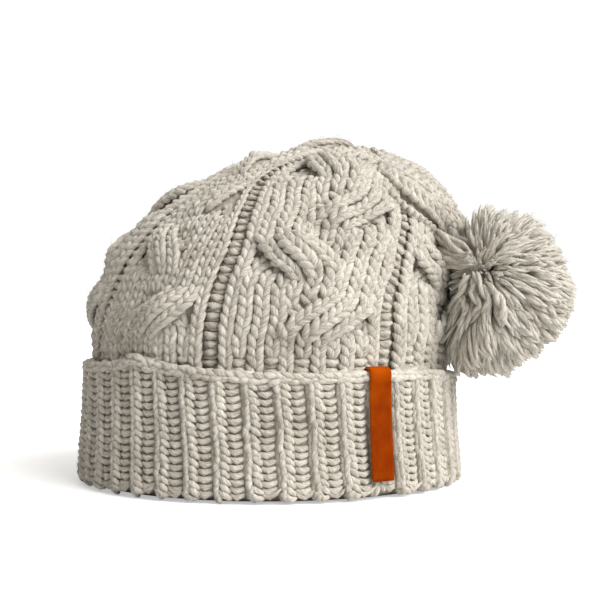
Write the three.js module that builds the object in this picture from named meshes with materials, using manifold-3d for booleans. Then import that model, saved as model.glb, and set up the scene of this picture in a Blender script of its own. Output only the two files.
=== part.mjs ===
// Knitted bobble hat: a cable-knit crown, a turned-up ribbed cuff, a leather tab over the cuff's edge
// and a yarn pompom tied to the crown's gathered tip. Millimetres, +Z up, the viewer stands at -Y.
import * as THREE from "three";
import { mergeVertices } from "three/addons/utils/BufferGeometryUtils.js";
import Module from "manifold-3d";

// Crown sizes
const CROWN_HALF_WIDTH = 98;
const CROWN_HALF_DEPTH = 98;
const CROWN_TOP = 187;
const CROWN_WALL = 5.5;
const CABLE_RISE = 3.4;
const GUTTER_DEPTH = 1.2;
const PLEAT_RISE = 9;
const PLEAT_SINK = 3.6;
const PANEL_WALES = 12;
const STRAND_WALES = 3;

// Cuff sizes
const CUFF_HEIGHT = 64;
const CUFF_THICKNESS = 5.6;
const CUFF_FLARE = 1.7;
const FOLD_THICKNESS = 8;
const RIB_DEPTH = 1.7;
const RIB_COUNT = 40;
const RIB_START = 5.2;

// Leather tab sizes
const TAB_WIDTH = 13;
const TAB_LENGTH = 54;
const TAB_THICKNESS = 1.8;
const TAB_TUCK = 9;
const TAB_AZIMUTH = -56.7;
const TAB_BEND = 1.2;

// Pompom and tie sizes
const POMPOM_HALF_WIDTH = 36;
const POMPOM_HALF_DEPTH = 38;
const POMPOM_HALF_HEIGHT = 46;
const LOCK_COUNT = 48;
const LOCK_RADIUS = 9;
const NECK_RADIUS = 9;
const NECK_LENGTH = 15;
const TIE_LENGTH = 8;
const TIE_RADIUS = 9.5;

// The gap that pieces keep where they touch
const SEAM_GAP = 0.4;

// Counts of facets
const CROWN_STEPS = 72;
const RIB_STEPS = 4;
const OUTER_RINGS = 19;
const INNER_RINGS = 9;
const PLEAT_STEPS_ALONG = 12;
const PLEAT_STEPS_ACROSS = 12;

// Sections of the crown, from its lower edge inside the cuff to the point that all its wales run to.
// along: share of the way up. left, right: reach, as shares of CROWN_HALF_WIDTH. depth: share of
// CROWN_HALF_DEPTH. leftHeight, rightHeight: shares of the height between the lower edge and the top.
const CROWN_SECTIONS = [
  { along: 0.0, left: -0.992, leftHeight: 0.0, right: 0.992, rightHeight: 0.0, depth: 0.992 },
  { along: 0.123, left: -0.98, leftHeight: 0.155, right: 0.98, rightHeight: 0.155, depth: 0.98 },
  { along: 0.241, left: -0.974, leftHeight: 0.312, right: 0.98, rightHeight: 0.3, depth: 0.98 },
  { along: 0.357, left: -0.977, leftHeight: 0.468, right: 1.01, rightHeight: 0.44, depth: 1.0 },
  { along: 0.458, left: -0.89, leftHeight: 0.619, right: 0.995, rightHeight: 0.547, depth: 0.969 },
  { along: 0.526, left: -0.775, leftHeight: 0.703, right: 0.98, rightHeight: 0.625, depth: 0.908 },
  { along: 0.587, left: -0.645, leftHeight: 0.77, right: 0.969, rightHeight: 0.692, depth: 0.832 },
  { along: 0.648, left: -0.485, leftHeight: 0.826, right: 0.949, rightHeight: 0.748, depth: 0.735 },
  { along: 0.706, left: -0.325, leftHeight: 0.877, right: 0.918, rightHeight: 0.798, depth: 0.633 },
  { along: 0.764, left: -0.163, leftHeight: 0.916, right: 0.878, rightHeight: 0.843, depth: 0.52 },
  { along: 0.817, left: 0.005, leftHeight: 0.938, right: 0.837, rightHeight: 0.877, depth: 0.408 },
  { along: 0.88, left: 0.23, leftHeight: 0.983, right: 0.786, rightHeight: 0.905, depth: 0.276 },
  { along: 0.933, left: 0.398, leftHeight: 1.0, right: 0.724, rightHeight: 0.93, depth: 0.158 },
  { along: 0.965, left: 0.51, leftHeight: 0.986, right: 0.684, rightHeight: 0.947, depth: 0.082 },
  { along: 1.0, left: 0.602, leftHeight: 0.966, right: 0.602, rightHeight: 0.966, depth: 0.0 },
];

// Azimuths in degrees of the six purl gutters between the cable panels, from the one at the front
// right and on clockwise seen from above, at shares of the way up the crown.
const GUTTERS = [
  { along: 0.0, right: -51.5, front: -107, left: -162, backLeft: -222, backRight: -284, side: -348 },
  { along: 0.28, right: -51.5, front: -107, left: -158, backLeft: -220, backRight: -284, side: -349 },
  { along: 0.4, right: -52, front: -105, left: -150, backLeft: -215, backRight: -284, side: -350 },
  { along: 0.5, right: -47, front: -102.5, left: -145, backLeft: -212, backRight: -284, side: -350 },
  { along: 0.6, right: -42, front: -108, left: -146, backLeft: -212, backRight: -284, side: -349 },
  { along: 0.7, right: -38, front: -118, left: -154, backLeft: -216, backRight: -284, side: -346 },
  { along: 0.8, right: -36, front: -124, left: -166, backLeft: -224, backRight: -286, side: -344 },
  { along: 1.0, right: -36, front: -128, left: -178, backLeft: -232, backRight: -290, side: -344 },
];
const GUTTER_NAMES = ["right", "front", "left", "backLeft", "backRight", "side"];

// The plait in each panel: where its strands cross, as shares of the way up the crown.
const FIRST_CROSSING = 0.362;
const CROSSING_STEP = 0.134;
const CROSSING_REACH = 0.055;
const PLAIT_END = 0.87;
const PLAIT_FADE = 0.14;
const CUFF_EDGE_FADE = 12;

// The pleat where the tip's fabric folds over the crown's front, on a flat chart of the crown: the chart's
// middle is the point that the wales run to, and 1 is the crown's lower edge. Each row crosses the pleat
// from its front edge to its back edge. along: share of the way to the tip. rise: share of PLEAT_RISE.
const PLEAT = [
  { along: 0.0, frontX: 0.035, frontY: -0.15, backX: -0.07, backY: 0.17, rise: 0.0 },
  { along: 0.2, frontX: 0.1, frontY: -0.185, backX: 0.02, backY: 0.22, rise: 0.3 },
  { along: 0.4, frontX: 0.172, frontY: -0.206, backX: 0.12, backY: 0.225, rise: 0.6 },
  { along: 0.6, frontX: 0.247, frontY: -0.2, backX: 0.225, backY: 0.185, rise: 0.9 },
  { along: 0.8, frontX: 0.33, frontY: -0.165, backX: 0.325, backY: 0.1, rise: 1.15 },
  { along: 1.0, frontX: 0.405, frontY: -0.115, backX: 0.41, backY: 0.0, rise: 1.0 },
];

// Height of the cuff's free edge round the hat, as shares of CUFF_HEIGHT.
const CUFF_EDGE = [
  { azimuth: -180, height: 1.01 },
  { azimuth: -138, height: 1.06 },
  { azimuth: -131, height: 1.12 },
  { azimuth: -125, height: 1.07 },
  { azimuth: -110, height: 1.025 },
  { azimuth: -90, height: 0.99 },
  { azimuth: -58, height: 0.995 },
  { azimuth: -34, height: 0.98 },
  { azimuth: 0, height: 0.91 },
  { azimuth: 60, height: 0.97 },
  { azimuth: 120, height: 1.0 },
  { azimuth: 180, height: 1.01 },
];
const CUFF_EDGE_TOP = 1.12;

// Where the crown's tip is gathered, on the same flat chart, and the way its neck points.
const GATHER = new THREE.Vector2(0.42, -0.075);
const NECK_DIRECTION = new THREE.Vector3(0.72, -0.33, -0.6).normalize();

// From the pompom's tied root to its middle, as shares of its three half sizes.
const POMPOM_HANG = new THREE.Vector3(0.52, -0.16, -0.26);

const CROWN_BASE = FOLD_THICKNESS + SEAM_GAP;
const CROWN_RISE = CROWN_TOP - CROWN_BASE;
const RELIEF_START = CUFF_HEIGHT * CUFF_EDGE_TOP;

const wasm = await Module();
wasm.setup();

// A smooth value between the rows of a table, by cubic curves through neighbouring rows.
function between(rows, place, name, at) {
  const last = rows.length - 1;
  let i = 0;
  while (i < last - 1 && rows[i + 1][place] < at) {
    i += 1;
  }
  const slope = (k) => {
    const a = rows[Math.max(k - 1, 0)];
    const b = rows[Math.min(k + 1, last)];
    return (b[name] - a[name]) / (b[place] - a[place]);
  };
  const from = rows[i];
  const to = rows[i + 1];
  const span = to[place] - from[place];
  const t = THREE.MathUtils.clamp((at - from[place]) / span, 0, 1);
  const t2 = t * t;
  const t3 = t2 * t;
  return (
    from[name] * (2 * t3 - 3 * t2 + 1) +
    slope(i) * span * (t3 - 2 * t2 + t) +
    to[name] * (3 * t2 - 2 * t3) +
    slope(i + 1) * span * (t3 - t2)
  );
}

// A point of the crown's smooth outer form.
function crownPoint(azimuth, along) {
  const at = (name) => between(CROWN_SECTIONS, "along", name, along);
  const left = at("left") * CROWN_HALF_WIDTH;
  const right = at("right") * CROWN_HALF_WIDTH;
  const leftHeight = CROWN_BASE + at("leftHeight") * CROWN_RISE;
  const rightHeight = CROWN_BASE + at("rightHeight") * CROWN_RISE;
  const turn = Math.cos(azimuth);
  return new THREE.Vector3(
    (left + right) / 2 + ((right - left) / 2) * turn,
    at("depth") * CROWN_HALF_DEPTH * Math.sin(azimuth),
    (leftHeight + rightHeight) / 2 + ((rightHeight - leftHeight) / 2) * turn,
  );
}

// The way out of the crown's smooth form at a point of it.
function crownNormal(azimuth, along) {
  const step = 0.004;
  const high = Math.min(along, 1 - 2 * step);
  const around = crownPoint(azimuth + step, high).sub(crownPoint(azimuth - step, high));
  const up = crownPoint(azimuth, high + step).sub(crownPoint(azimuth, Math.max(high - step, 0)));
  return around.cross(up).normalize();
}

// The same point and normal by place on the flat chart.
function chartPoint(x, y, lift) {
  const along = 1 - Math.hypot(x, y);
  const azimuth = Math.atan2(y, x);
  return crownPoint(azimuth, along).addScaledVector(crownNormal(azimuth, along), lift);
}

// An azimuth's place between the two gutters of its panel, in wales.
function waleAt(azimuth, along) {
  const degrees = THREE.MathUtils.radToDeg(azimuth);
  const edges = GUTTER_NAMES.map((name) => between(GUTTERS, "along", name, along));
  edges.push(edges[0] - 360);
  const turned = edges[0] - THREE.MathUtils.euclideanModulo(edges[0] - degrees, 360);
  for (let panel = 0; panel < GUTTER_NAMES.length; panel += 1) {
    if (turned > edges[panel + 1]) {
      return (PANEL_WALES * (edges[panel] - turned)) / (edges[panel] - edges[panel + 1]);
    }
  }
  return PANEL_WALES;
}

// Places of the plait's three strands across the panel at a height, in wales from the panel's middle,
// each with its lift over or under its neighbour while it crosses.
function strandsAt(along) {
  const order = [0, 1, 2];
  const places = [-STRAND_WALES, 0, STRAND_WALES];
  const strands = places.map((place) => ({ place, lift: 0 }));
  const first = FIRST_CROSSING - 2 * CROSSING_STEP;
  for (let crossing = 0; crossing < 8; crossing += 1) {
    const middle = first + crossing * CROSSING_STEP;
    const share = THREE.MathUtils.clamp((along - middle) / (2 * CROSSING_REACH) + 0.5, 0, 1);
    if (share <= 0) {
      break;
    }
    const outer = crossing % 2 === 0 ? 0 : 2;
    const over = order[1];
    const under = order[outer];
    const smooth = share * share * (3 - 2 * share);
    strands[over].place = THREE.MathUtils.lerp(0, places[outer], smooth);
    strands[under].place = THREE.MathUtils.lerp(places[outer], 0, smooth);
    strands[over].lift = 0.6 * Math.sin(Math.PI * share);
    strands[under].lift = -0.6 * Math.sin(Math.PI * share);
    order[1] = under;
    order[outer] = over;
  }
  return strands;
}

// Height of the knitting over the smooth form: the plait's rounded strands and the sunk gutters.
function crownRelief(azimuth, along) {
  const height = crownPoint(azimuth, along).z;
  const fadeIn = THREE.MathUtils.smoothstep(height, RELIEF_START, RELIEF_START + CUFF_EDGE_FADE);
  const fadeOut = 1 - THREE.MathUtils.smoothstep(along, PLAIT_END - PLAIT_FADE, PLAIT_END);
  const wale = waleAt(azimuth, along);
  const fromGutter = Math.min(wale, PANEL_WALES - wale);
  let relief = -CABLE_RISE / 2 - GUTTER_DEPTH * Math.max(0, 1 - fromGutter);
  for (const strand of strandsAt(along)) {
    const across = (wale - PANEL_WALES / 2 - strand.place) / (0.57 * STRAND_WALES);
    const round = Math.sqrt(Math.max(0, 1 - across * across));
    relief = Math.max(relief, CABLE_RISE * (round * (0.6 + strand.lift) - 0.5));
  }
  return relief * fadeIn * fadeOut;
}

// A mesh from rings of points, each ring as long as the next. A ring of one point closes an end.
function ringMesh(rings, closed) {
  const positions = [];
  const starts = [];
  for (const ring of rings) {
    starts.push(positions.length / 3);
    for (const point of ring) {
      positions.push(point.x, point.y, point.z);
    }
  }
  const triangles = [];
  const bands = closed ? rings.length : rings.length - 1;
  for (let band = 0; band < bands; band += 1) {
    const next = (band + 1) % rings.length;
    const low = rings[band].length;
    const high = rings[next].length;
    const count = Math.max(low, high);
    for (let i = 0; i < count; i += 1) {
      const a = starts[band] + (i % low);
      const b = starts[band] + ((i + 1) % low);
      const c = starts[next] + ((i + 1) % high);
      const d = starts[next] + (i % high);
      if (low > 1) {
        triangles.push(a, b, high > 1 ? c : d);
      }
      if (high > 1) {
        triangles.push(a, c, d);
      }
    }
  }
  return facingOut(positions, triangles);
}

// The middle of a ring, to close an end of a loft.
function middleOf(ring) {
  const sum = new THREE.Vector3();
  for (const point of ring) {
    sum.add(point);
  }
  return sum.divideScalar(ring.length);
}

// An indexed geometry turned so that its faces point out.
function facingOut(positions, triangles) {
  let volume = 0;
  const corner = (i) => new THREE.Vector3().fromArray(positions, 3 * i);
  for (let i = 0; i < triangles.length; i += 3) {
    const a = corner(triangles[i]);
    const b = corner(triangles[i + 1]);
    const c = corner(triangles[i + 2]);
    volume += a.dot(b.cross(c));
  }
  if (volume < 0) {
    for (let i = 0; i < triangles.length; i += 3) {
      [triangles[i + 1], triangles[i + 2]] = [triangles[i + 2], triangles[i + 1]];
    }
  }
  const geometry = new THREE.BufferGeometry();
  geometry.setAttribute("position", new THREE.Float32BufferAttribute(positions, 3));
  geometry.setIndex(triangles);
  return geometry;
}

// A closed geometry as a solid that can be joined and cut, and back.
function toSolid(geometry) {
  const bare = geometry.clone();
  bare.deleteAttribute("normal");
  bare.deleteAttribute("uv");
  const merged = mergeVertices(bare, 1e-4);
  return new wasm.Manifold(
    new wasm.Mesh({
      numProp: 3,
      vertProperties: new Float32Array(merged.getAttribute("position").array),
      triVerts: new Uint32Array(merged.index.array),
    }),
  );
}

function toGeometry(solid) {
  const mesh = solid.getMesh();
  const geometry = new THREE.BufferGeometry();
  geometry.setAttribute("position", new THREE.BufferAttribute(mesh.vertProperties, 3));
  geometry.setIndex(new THREE.BufferAttribute(mesh.triVerts, 1));
  return geometry;
}

// One ring of the crown, lifted off its smooth form. Its lower edge is lifted level.
function crownRing(along, lift) {
  const ring = [];
  for (let i = 0; i < CROWN_STEPS; i += 1) {
    const azimuth = (2 * Math.PI * i) / CROWN_STEPS;
    const normal = crownNormal(azimuth, along);
    if (along === 0) {
      normal.setZ(0).normalize();
    }
    ring.push(crownPoint(azimuth, along).addScaledVector(normal, lift(azimuth, along)));
  }
  return ring;
}

// The whole space that the crown takes up, lifted off its smooth form, down to a height below its edge.
function crownSpace(count, lift, below) {
  const rings = [];
  for (let i = 0; i < count; i += 1) {
    rings.push(crownRing((0.96 * i) / (count - 1), lift));
  }
  const top = crownPoint(0, 1).addScaledVector(crownNormal(0, 0.99), lift(0, 1));
  rings.push([top]);
  if (below > 0) {
    rings.unshift(rings[0].map((point) => point.clone().setZ(point.z - below)));
  }
  rings.unshift([middleOf(rings[0])]);
  return toSolid(ringMesh(rings, false));
}

// How the pleat's height goes from its steep front edge to its soft back edge.
function pleatRound(across) {
  const steep = 1 - Math.min(across / 0.16, 1);
  const soft = THREE.MathUtils.smoothstep(across, 0.35, 1);
  return Math.sqrt(1 - steep * steep) * (1 - soft);
}

// The pleat: the fold of fabric that lies over the crown's front and runs down to the tip.
function pleatPad() {
  const rings = [];
  for (let i = 0; i <= PLEAT_STEPS_ALONG; i += 1) {
    const along = i / PLEAT_STEPS_ALONG;
    const at = (name) => between(PLEAT, "along", name, along);
    const rise = at("rise") * PLEAT_RISE;
    const over = [];
    const under = [];
    for (let k = 0; k <= PLEAT_STEPS_ACROSS; k += 1) {
      const across = k / PLEAT_STEPS_ACROSS;
      const x = THREE.MathUtils.lerp(at("frontX"), at("backX"), across);
      const y = THREE.MathUtils.lerp(at("frontY"), at("backY"), across);
      over.push(chartPoint(x, y, rise * pleatRound(across)));
      under.push(chartPoint(x, y, -PLEAT_SINK));
    }
    rings.push([...over, ...under.reverse()]);
  }
  rings.unshift([middleOf(rings[0])]);
  rings.push([middleOf(rings[rings.length - 1])]);
  return ringMesh(rings, false);
}

// A round section across a line, used for the neck, the tie and the room they need.
function roundBar(from, direction, rows, sides) {
  const side = new THREE.Vector3(0, 0, 1).cross(direction).normalize();
  const up = direction.clone().cross(side).normalize();
  const rings = rows.map((row) => {
    const ring = [];
    for (let i = 0; i < sides; i += 1) {
      const turn = (2 * Math.PI * i) / sides;
      const point = from.clone().addScaledVector(direction, row.along);
      point.addScaledVector(side, row.radius * Math.cos(turn));
      point.addScaledVector(up, row.radius * Math.sin(turn));
      ring.push(point);
    }
    return ring;
  });
  rings.unshift([from.clone().addScaledVector(direction, rows[0].along)]);
  rings.push([from.clone().addScaledVector(direction, rows[rows.length - 1].along)]);
  return ringMesh(rings, false);
}

const gatherPoint = chartPoint(GATHER.x, GATHER.y, 0);
const neckEnd = gatherPoint.clone().addScaledVector(NECK_DIRECTION, NECK_LENGTH);
const pompomRoot = neckEnd.clone().addScaledVector(NECK_DIRECTION, TIE_LENGTH);

// The gathered neck at the crown's tip.
function crownNeck() {
  const rows = [
    { along: -CROWN_WALL / 2, radius: NECK_RADIUS * 1.6 },
    { along: 0.25 * NECK_LENGTH, radius: NECK_RADIUS * 1.5 },
    { along: 0.55 * NECK_LENGTH, radius: NECK_RADIUS * 1.3 },
    { along: 0.85 * NECK_LENGTH, radius: NECK_RADIUS * 1.08 },
    { along: NECK_LENGTH, radius: NECK_RADIUS },
  ];
  return roundBar(gatherPoint, NECK_DIRECTION, rows, 16);
}

// The crown: its knitted outside with the pleat and the neck, hollowed from below.
function crown() {
  const outside = crownSpace(OUTER_RINGS, crownRelief, 0);
  const head = crownSpace(INNER_RINGS, () => -CROWN_WALL, FOLD_THICKNESS);
  const folded = outside.add(toSolid(pleatPad())).add(toSolid(crownNeck()));
  return toGeometry(folded.subtract(head));
}

// Reach of the crown's outer form at a height on its straight part inside the cuff.
function crownReach(azimuth, height) {
  let low = 0;
  let high = 0.4;
  for (let i = 0; i < 24; i += 1) {
    const middle = (low + high) / 2;
    if (crownPoint(azimuth, middle).z < height) {
      low = middle;
    } else {
      high = middle;
    }
  }
  const point = crownPoint(azimuth, low);
  return Math.hypot(point.x, point.y);
}

function cuffEdgeHeight(azimuth) {
  const degrees = THREE.MathUtils.radToDeg(Math.atan2(Math.sin(azimuth), Math.cos(azimuth)));
  return CUFF_HEIGHT * between(CUFF_EDGE, "azimuth", "height", degrees);
}

// One section through the cuff, as distance from the hat's axis and height, round its closed outline.
function cuffSection(azimuth) {
  const edge = cuffEdgeHeight(azimuth);
  const low = crownReach(azimuth, CROWN_BASE);
  const inner = (height) => crownReach(azimuth, height) + SEAM_GAP;
  const fromRib = azimuth - THREE.MathUtils.degToRad(RIB_START);
  const rib = RIB_DEPTH * (0.5 - 0.5 * Math.cos(RIB_COUNT * fromRib));
  const outer = (height, share) => {
    const taper = CUFF_FLARE * Math.pow(1 - height / edge, 1.5);
    const reach = crownReach(azimuth, Math.max(height, CROWN_BASE)) + SEAM_GAP;
    return reach + CUFF_THICKNESS * share + taper - rib;
  };
  return [
    [low - CROWN_WALL, 0.55 * FOLD_THICKNESS],
    [low - CROWN_WALL + 0.3 * FOLD_THICKNESS, 0],
    [outer(0, 0.4), 0],
    [outer(0.1 * edge, 0.95), 0.1 * edge],
    [outer(0.3 * edge, 1), 0.3 * edge],
    [outer(0.6 * edge, 1), 0.6 * edge],
    [outer(0.92 * edge, 0.95), 0.92 * edge],
    [outer(edge, 0.55), edge],
    [inner(0.96 * edge), 0.96 * edge],
    [inner(0.5 * edge), 0.5 * edge],
    [low + SEAM_GAP, FOLD_THICKNESS],
    [low - CROWN_WALL, FOLD_THICKNESS],
  ];
}

// The leather tab's outline in the upright plane through its middle: out from the hat's axis, and up.
const tabAzimuth = THREE.MathUtils.degToRad(TAB_AZIMUTH);
const tabTop = cuffEdgeHeight(tabAzimuth);

// Reach of the cuff's outer face under the tab, over the tops of its ribs.
function faceUnderTab(height) {
  const taper = CUFF_FLARE * Math.pow(Math.max(0, 1 - height / tabTop), 1.5);
  const reach = crownReach(tabAzimuth, Math.max(height, CROWN_BASE));
  return reach + SEAM_GAP + CUFF_THICKNESS + taper;
}

function tabOutline(spread) {
  const bottom = tabTop - TAB_LENGTH;
  const near = SEAM_GAP - spread;
  const far = SEAM_GAP + TAB_THICKNESS + spread;
  const insideReach = crownReach(tabAzimuth, tabTop) + SEAM_GAP + 0.1;
  const outline = new THREE.Shape();
  outline.moveTo(faceUnderTab(bottom) + near, bottom - spread);
  outline.lineTo(faceUnderTab(bottom) + far, bottom - spread);
  for (const share of [0.25, 0.5, 0.75, 0.92]) {
    const height = bottom + share * TAB_LENGTH;
    outline.lineTo(faceUnderTab(height) + far, height);
  }
  outline.lineTo(faceUnderTab(tabTop) + far - TAB_BEND, tabTop + far - TAB_BEND / 2);
  outline.lineTo(faceUnderTab(tabTop) + far - 2 * TAB_BEND, tabTop + far);
  outline.lineTo(insideReach + TAB_BEND - spread, tabTop + far);
  outline.lineTo(insideReach - spread, tabTop + far - TAB_BEND);
  outline.lineTo(insideReach - spread, tabTop - TAB_TUCK - spread);
  outline.lineTo(insideReach + TAB_THICKNESS + spread, tabTop - TAB_TUCK - spread);
  outline.lineTo(insideReach + TAB_THICKNESS + spread, tabTop + near);
  outline.lineTo(faceUnderTab(tabTop) + near - TAB_BEND, tabTop + near);
  for (const share of [0.92, 0.75, 0.5, 0.25]) {
    const height = bottom + share * TAB_LENGTH;
    outline.lineTo(faceUnderTab(height) + near, height);
  }
  outline.closePath();
  return outline;
}

// A slab of an upright outline, set across the tab's azimuth.
function slabAtTab(outline, width) {
  const slab = new THREE.ExtrudeGeometry(outline, { depth: width, bevelEnabled: false, steps: 1 });
  slab.translate(0, 0, -width / 2);
  slab.rotateX(Math.PI / 2);
  slab.rotateZ(tabAzimuth);
  return slab;
}

function leatherTab() {
  return slabAtTab(tabOutline(0), TAB_WIDTH);
}

function cuff() {
  const sections = cuffSection(0).length;
  const steps = RIB_COUNT * RIB_STEPS;
  const rings = [];
  for (let k = 0; k < sections; k += 1) {
    rings.push([]);
  }
  for (let i = 0; i < steps; i += 1) {
    const azimuth = THREE.MathUtils.degToRad(RIB_START) + (2 * Math.PI * i) / steps;
    cuffSection(azimuth).forEach(([reach, height], k) => {
      rings[k].push(new THREE.Vector3(reach * Math.cos(azimuth), reach * Math.sin(azimuth), height));
    });
  }
  const band = toSolid(ringMesh(rings, true));
  const tabRoom = toSolid(slabAtTab(tabOutline(SEAM_GAP), TAB_WIDTH + 2 * SEAM_GAP));
  return toGeometry(band.subtract(tabRoom));
}

// The pompom: blunt locks of yarn that stand out all round from a solid heart.
const pompomSize = new THREE.Vector3(POMPOM_HALF_WIDTH, POMPOM_HALF_DEPTH, POMPOM_HALF_HEIGHT);
const pompomMiddle = pompomRoot.clone().add(POMPOM_HANG.clone().multiply(pompomSize));

function pompomLock(index) {
  const golden = Math.PI * (3 - Math.sqrt(5));
  const level = 1 - (2 * index + 1) / LOCK_COUNT;
  const ring = Math.sqrt(1 - level * level);
  const way = new THREE.Vector3(ring * Math.cos(golden * index), ring * Math.sin(golden * index), level);
  const reach = 1 - 0.05 * (index % 3);
  const tip = way.clone().multiply(pompomSize).multiplyScalar(reach);
  const length = tip.length();
  const rows = [
    { along: 0.45 * length, radius: 0.8 * LOCK_RADIUS },
    { along: 0.82 * length, radius: LOCK_RADIUS },
    { along: length, radius: 0.35 * LOCK_RADIUS },
  ];
  return roundBar(pompomMiddle, tip.normalize(), rows, 5);
}

function pompom() {
  const heart = new THREE.IcosahedronGeometry(0.78, 1);
  heart.scale(pompomSize.x, pompomSize.y, pompomSize.z);
  heart.translate(pompomMiddle.x, pompomMiddle.y, pompomMiddle.z);
  let ball = toSolid(heart);
  for (let i = 0; i < LOCK_COUNT; i += 1) {
    ball = ball.add(toSolid(pompomLock(i)));
  }
  const tieRows = [
    { along: -NECK_LENGTH, radius: NECK_RADIUS * 1.6 + SEAM_GAP },
    { along: SEAM_GAP, radius: TIE_RADIUS + SEAM_GAP },
    { along: TIE_LENGTH + SEAM_GAP, radius: TIE_RADIUS + SEAM_GAP },
  ];
  const tieRoom = toSolid(roundBar(neckEnd, NECK_DIRECTION, tieRows, 16));
  const clear = (azimuth, along) => crownRelief(azimuth, along) + 2 * SEAM_GAP;
  const crownRoom = crownSpace(OUTER_RINGS, clear, 0);
  return toGeometry(ball.subtract(tieRoom).subtract(crownRoom));
}

// The turns of yarn that tie the pompom to the crown's tip.
function pompomTie() {
  const rows = [];
  const turns = 3;
  const length = TIE_LENGTH - SEAM_GAP;
  for (let i = 0; i <= 2 * turns; i += 1) {
    const swell = i % 2;
    rows.push({
      along: SEAM_GAP + (length * i) / (2 * turns),
      radius: TIE_RADIUS * (0.84 + 0.16 * swell),
    });
  }
  return roundBar(neckEnd, NECK_DIRECTION, rows, 12);
}

const yarn = new THREE.MeshStandardMaterial({ color: 0xcfc9bc, roughness: 0.95, metalness: 0 });
const leather = new THREE.MeshStandardMaterial({ color: 0xb44a08, roughness: 0.55, metalness: 0 });

function piece(name, geometry, material) {
  const flat = geometry.index ? geometry.toNonIndexed() : geometry;
  flat.computeVertexNormals();
  const mesh = new THREE.Mesh(flat, material);
  mesh.name = name;
  return mesh;
}

const hat = new THREE.Group();
hat.add(piece("crown", crown(), yarn));
hat.add(piece("cuff", cuff(), yarn));
hat.add(piece("leather_tab", leatherTab(), leather));
hat.add(piece("pompom", pompom(), yarn));
hat.add(piece("pompom_tie", pompomTie(), yarn));

// The frame's origin lies in the middle of the hat's box, on the surface that it stands on.
const box = new THREE.Box3().setFromObject(hat);
hat.position.set(-(box.min.x + box.max.x) / 2, -(box.min.y + box.max.y) / 2, -box.min.z);

export default hat;
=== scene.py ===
import math

import bpy
import numpy as np
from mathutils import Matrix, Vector
from mathutils.bvhtree import BVHTree


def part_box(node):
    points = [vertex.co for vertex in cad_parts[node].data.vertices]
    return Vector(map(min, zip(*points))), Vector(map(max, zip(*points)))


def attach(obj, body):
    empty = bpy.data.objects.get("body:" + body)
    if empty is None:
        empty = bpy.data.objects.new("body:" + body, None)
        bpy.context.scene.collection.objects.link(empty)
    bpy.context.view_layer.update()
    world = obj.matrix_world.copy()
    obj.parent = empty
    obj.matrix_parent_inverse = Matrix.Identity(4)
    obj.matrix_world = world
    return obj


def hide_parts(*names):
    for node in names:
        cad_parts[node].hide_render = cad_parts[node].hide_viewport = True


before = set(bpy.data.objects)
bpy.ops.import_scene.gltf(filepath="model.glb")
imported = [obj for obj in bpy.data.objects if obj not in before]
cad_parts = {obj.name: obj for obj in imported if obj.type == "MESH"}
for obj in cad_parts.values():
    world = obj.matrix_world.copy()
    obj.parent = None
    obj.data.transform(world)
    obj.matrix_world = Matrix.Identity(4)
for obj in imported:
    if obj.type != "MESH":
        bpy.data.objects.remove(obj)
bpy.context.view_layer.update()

# Shapes are worked out in millimetres about the hat's own axis, and turned into metres in the row's frame
# when a mesh is made. The axis runs up through the middle of the cuff.
MM = 0.001
cuff_low, cuff_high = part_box("cuff")
AXIS_X = (cuff_low.x + cuff_high.x) / 2

# Sizes that the knitting shares with the solids
CROWN_HALF_WIDTH = 98
CROWN_HALF_DEPTH = 98
CROWN_TOP = 187
CROWN_WALL = 5.5
CABLE_RISE = 3.4
GUTTER_DEPTH = 1.2
PLEAT_RISE = 9
PANEL_WALES = 12
STRAND_WALES = 3
CUFF_HEIGHT = 64
CUFF_THICKNESS = 5.6
CUFF_FLARE = 1.7
FOLD_THICKNESS = 8
RIB_COUNT = 40
RIB_START = 5.2
TAB_WIDTH = 13
TAB_LENGTH = 54
TAB_THICKNESS = 1.8
TAB_TUCK = 9
TAB_AZIMUTH = -56.7
POMPOM_HALF = np.array([36.0, 38.0, 46.0])
NECK_LENGTH = 15
NECK_CLOTH_DEPTH = 1.6
NECK_FOLDS = 13
COLLAR_FOLDS = 22
COLLAR_HUB = (104.5, -53.0, 121.0)
TIE_LENGTH = 8
TIE_RADIUS = 9.5
SEAM_GAP = 0.4
CROWN_BASE = FOLD_THICKNESS + SEAM_GAP
CROWN_RISE = CROWN_TOP - CROWN_BASE


def table(names, *rows):
    """Rows of given numbers as named columns."""
    values = np.array(rows, float)
    return {name: values[:, i] for i, name in enumerate(names)}


# Sections of the crown from its lower edge to the point that its wales run to, as shares of its sizes
CROWN_SECTIONS = table(
    ("along", "left", "left_height", "right", "right_height", "depth"),
    (0.0, -0.992, 0.0, 0.992, 0.0, 0.992),
    (0.123, -0.98, 0.155, 0.98, 0.155, 0.98),
    (0.241, -0.974, 0.312, 0.98, 0.3, 0.98),
    (0.357, -0.977, 0.468, 1.01, 0.44, 1.0),
    (0.458, -0.89, 0.619, 0.995, 0.547, 0.969),
    (0.526, -0.775, 0.703, 0.98, 0.625, 0.908),
    (0.587, -0.645, 0.77, 0.969, 0.692, 0.832),
    (0.648, -0.485, 0.826, 0.949, 0.748, 0.735),
    (0.706, -0.325, 0.877, 0.918, 0.798, 0.633),
    (0.764, -0.163, 0.916, 0.878, 0.843, 0.52),
    (0.817, 0.005, 0.938, 0.837, 0.877, 0.408),
    (0.88, 0.23, 0.983, 0.786, 0.905, 0.276),
    (0.933, 0.398, 1.0, 0.724, 0.93, 0.158),
    (0.965, 0.51, 0.986, 0.684, 0.947, 0.082),
    (1.0, 0.602, 0.966, 0.602, 0.966, 0.0),
)

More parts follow.
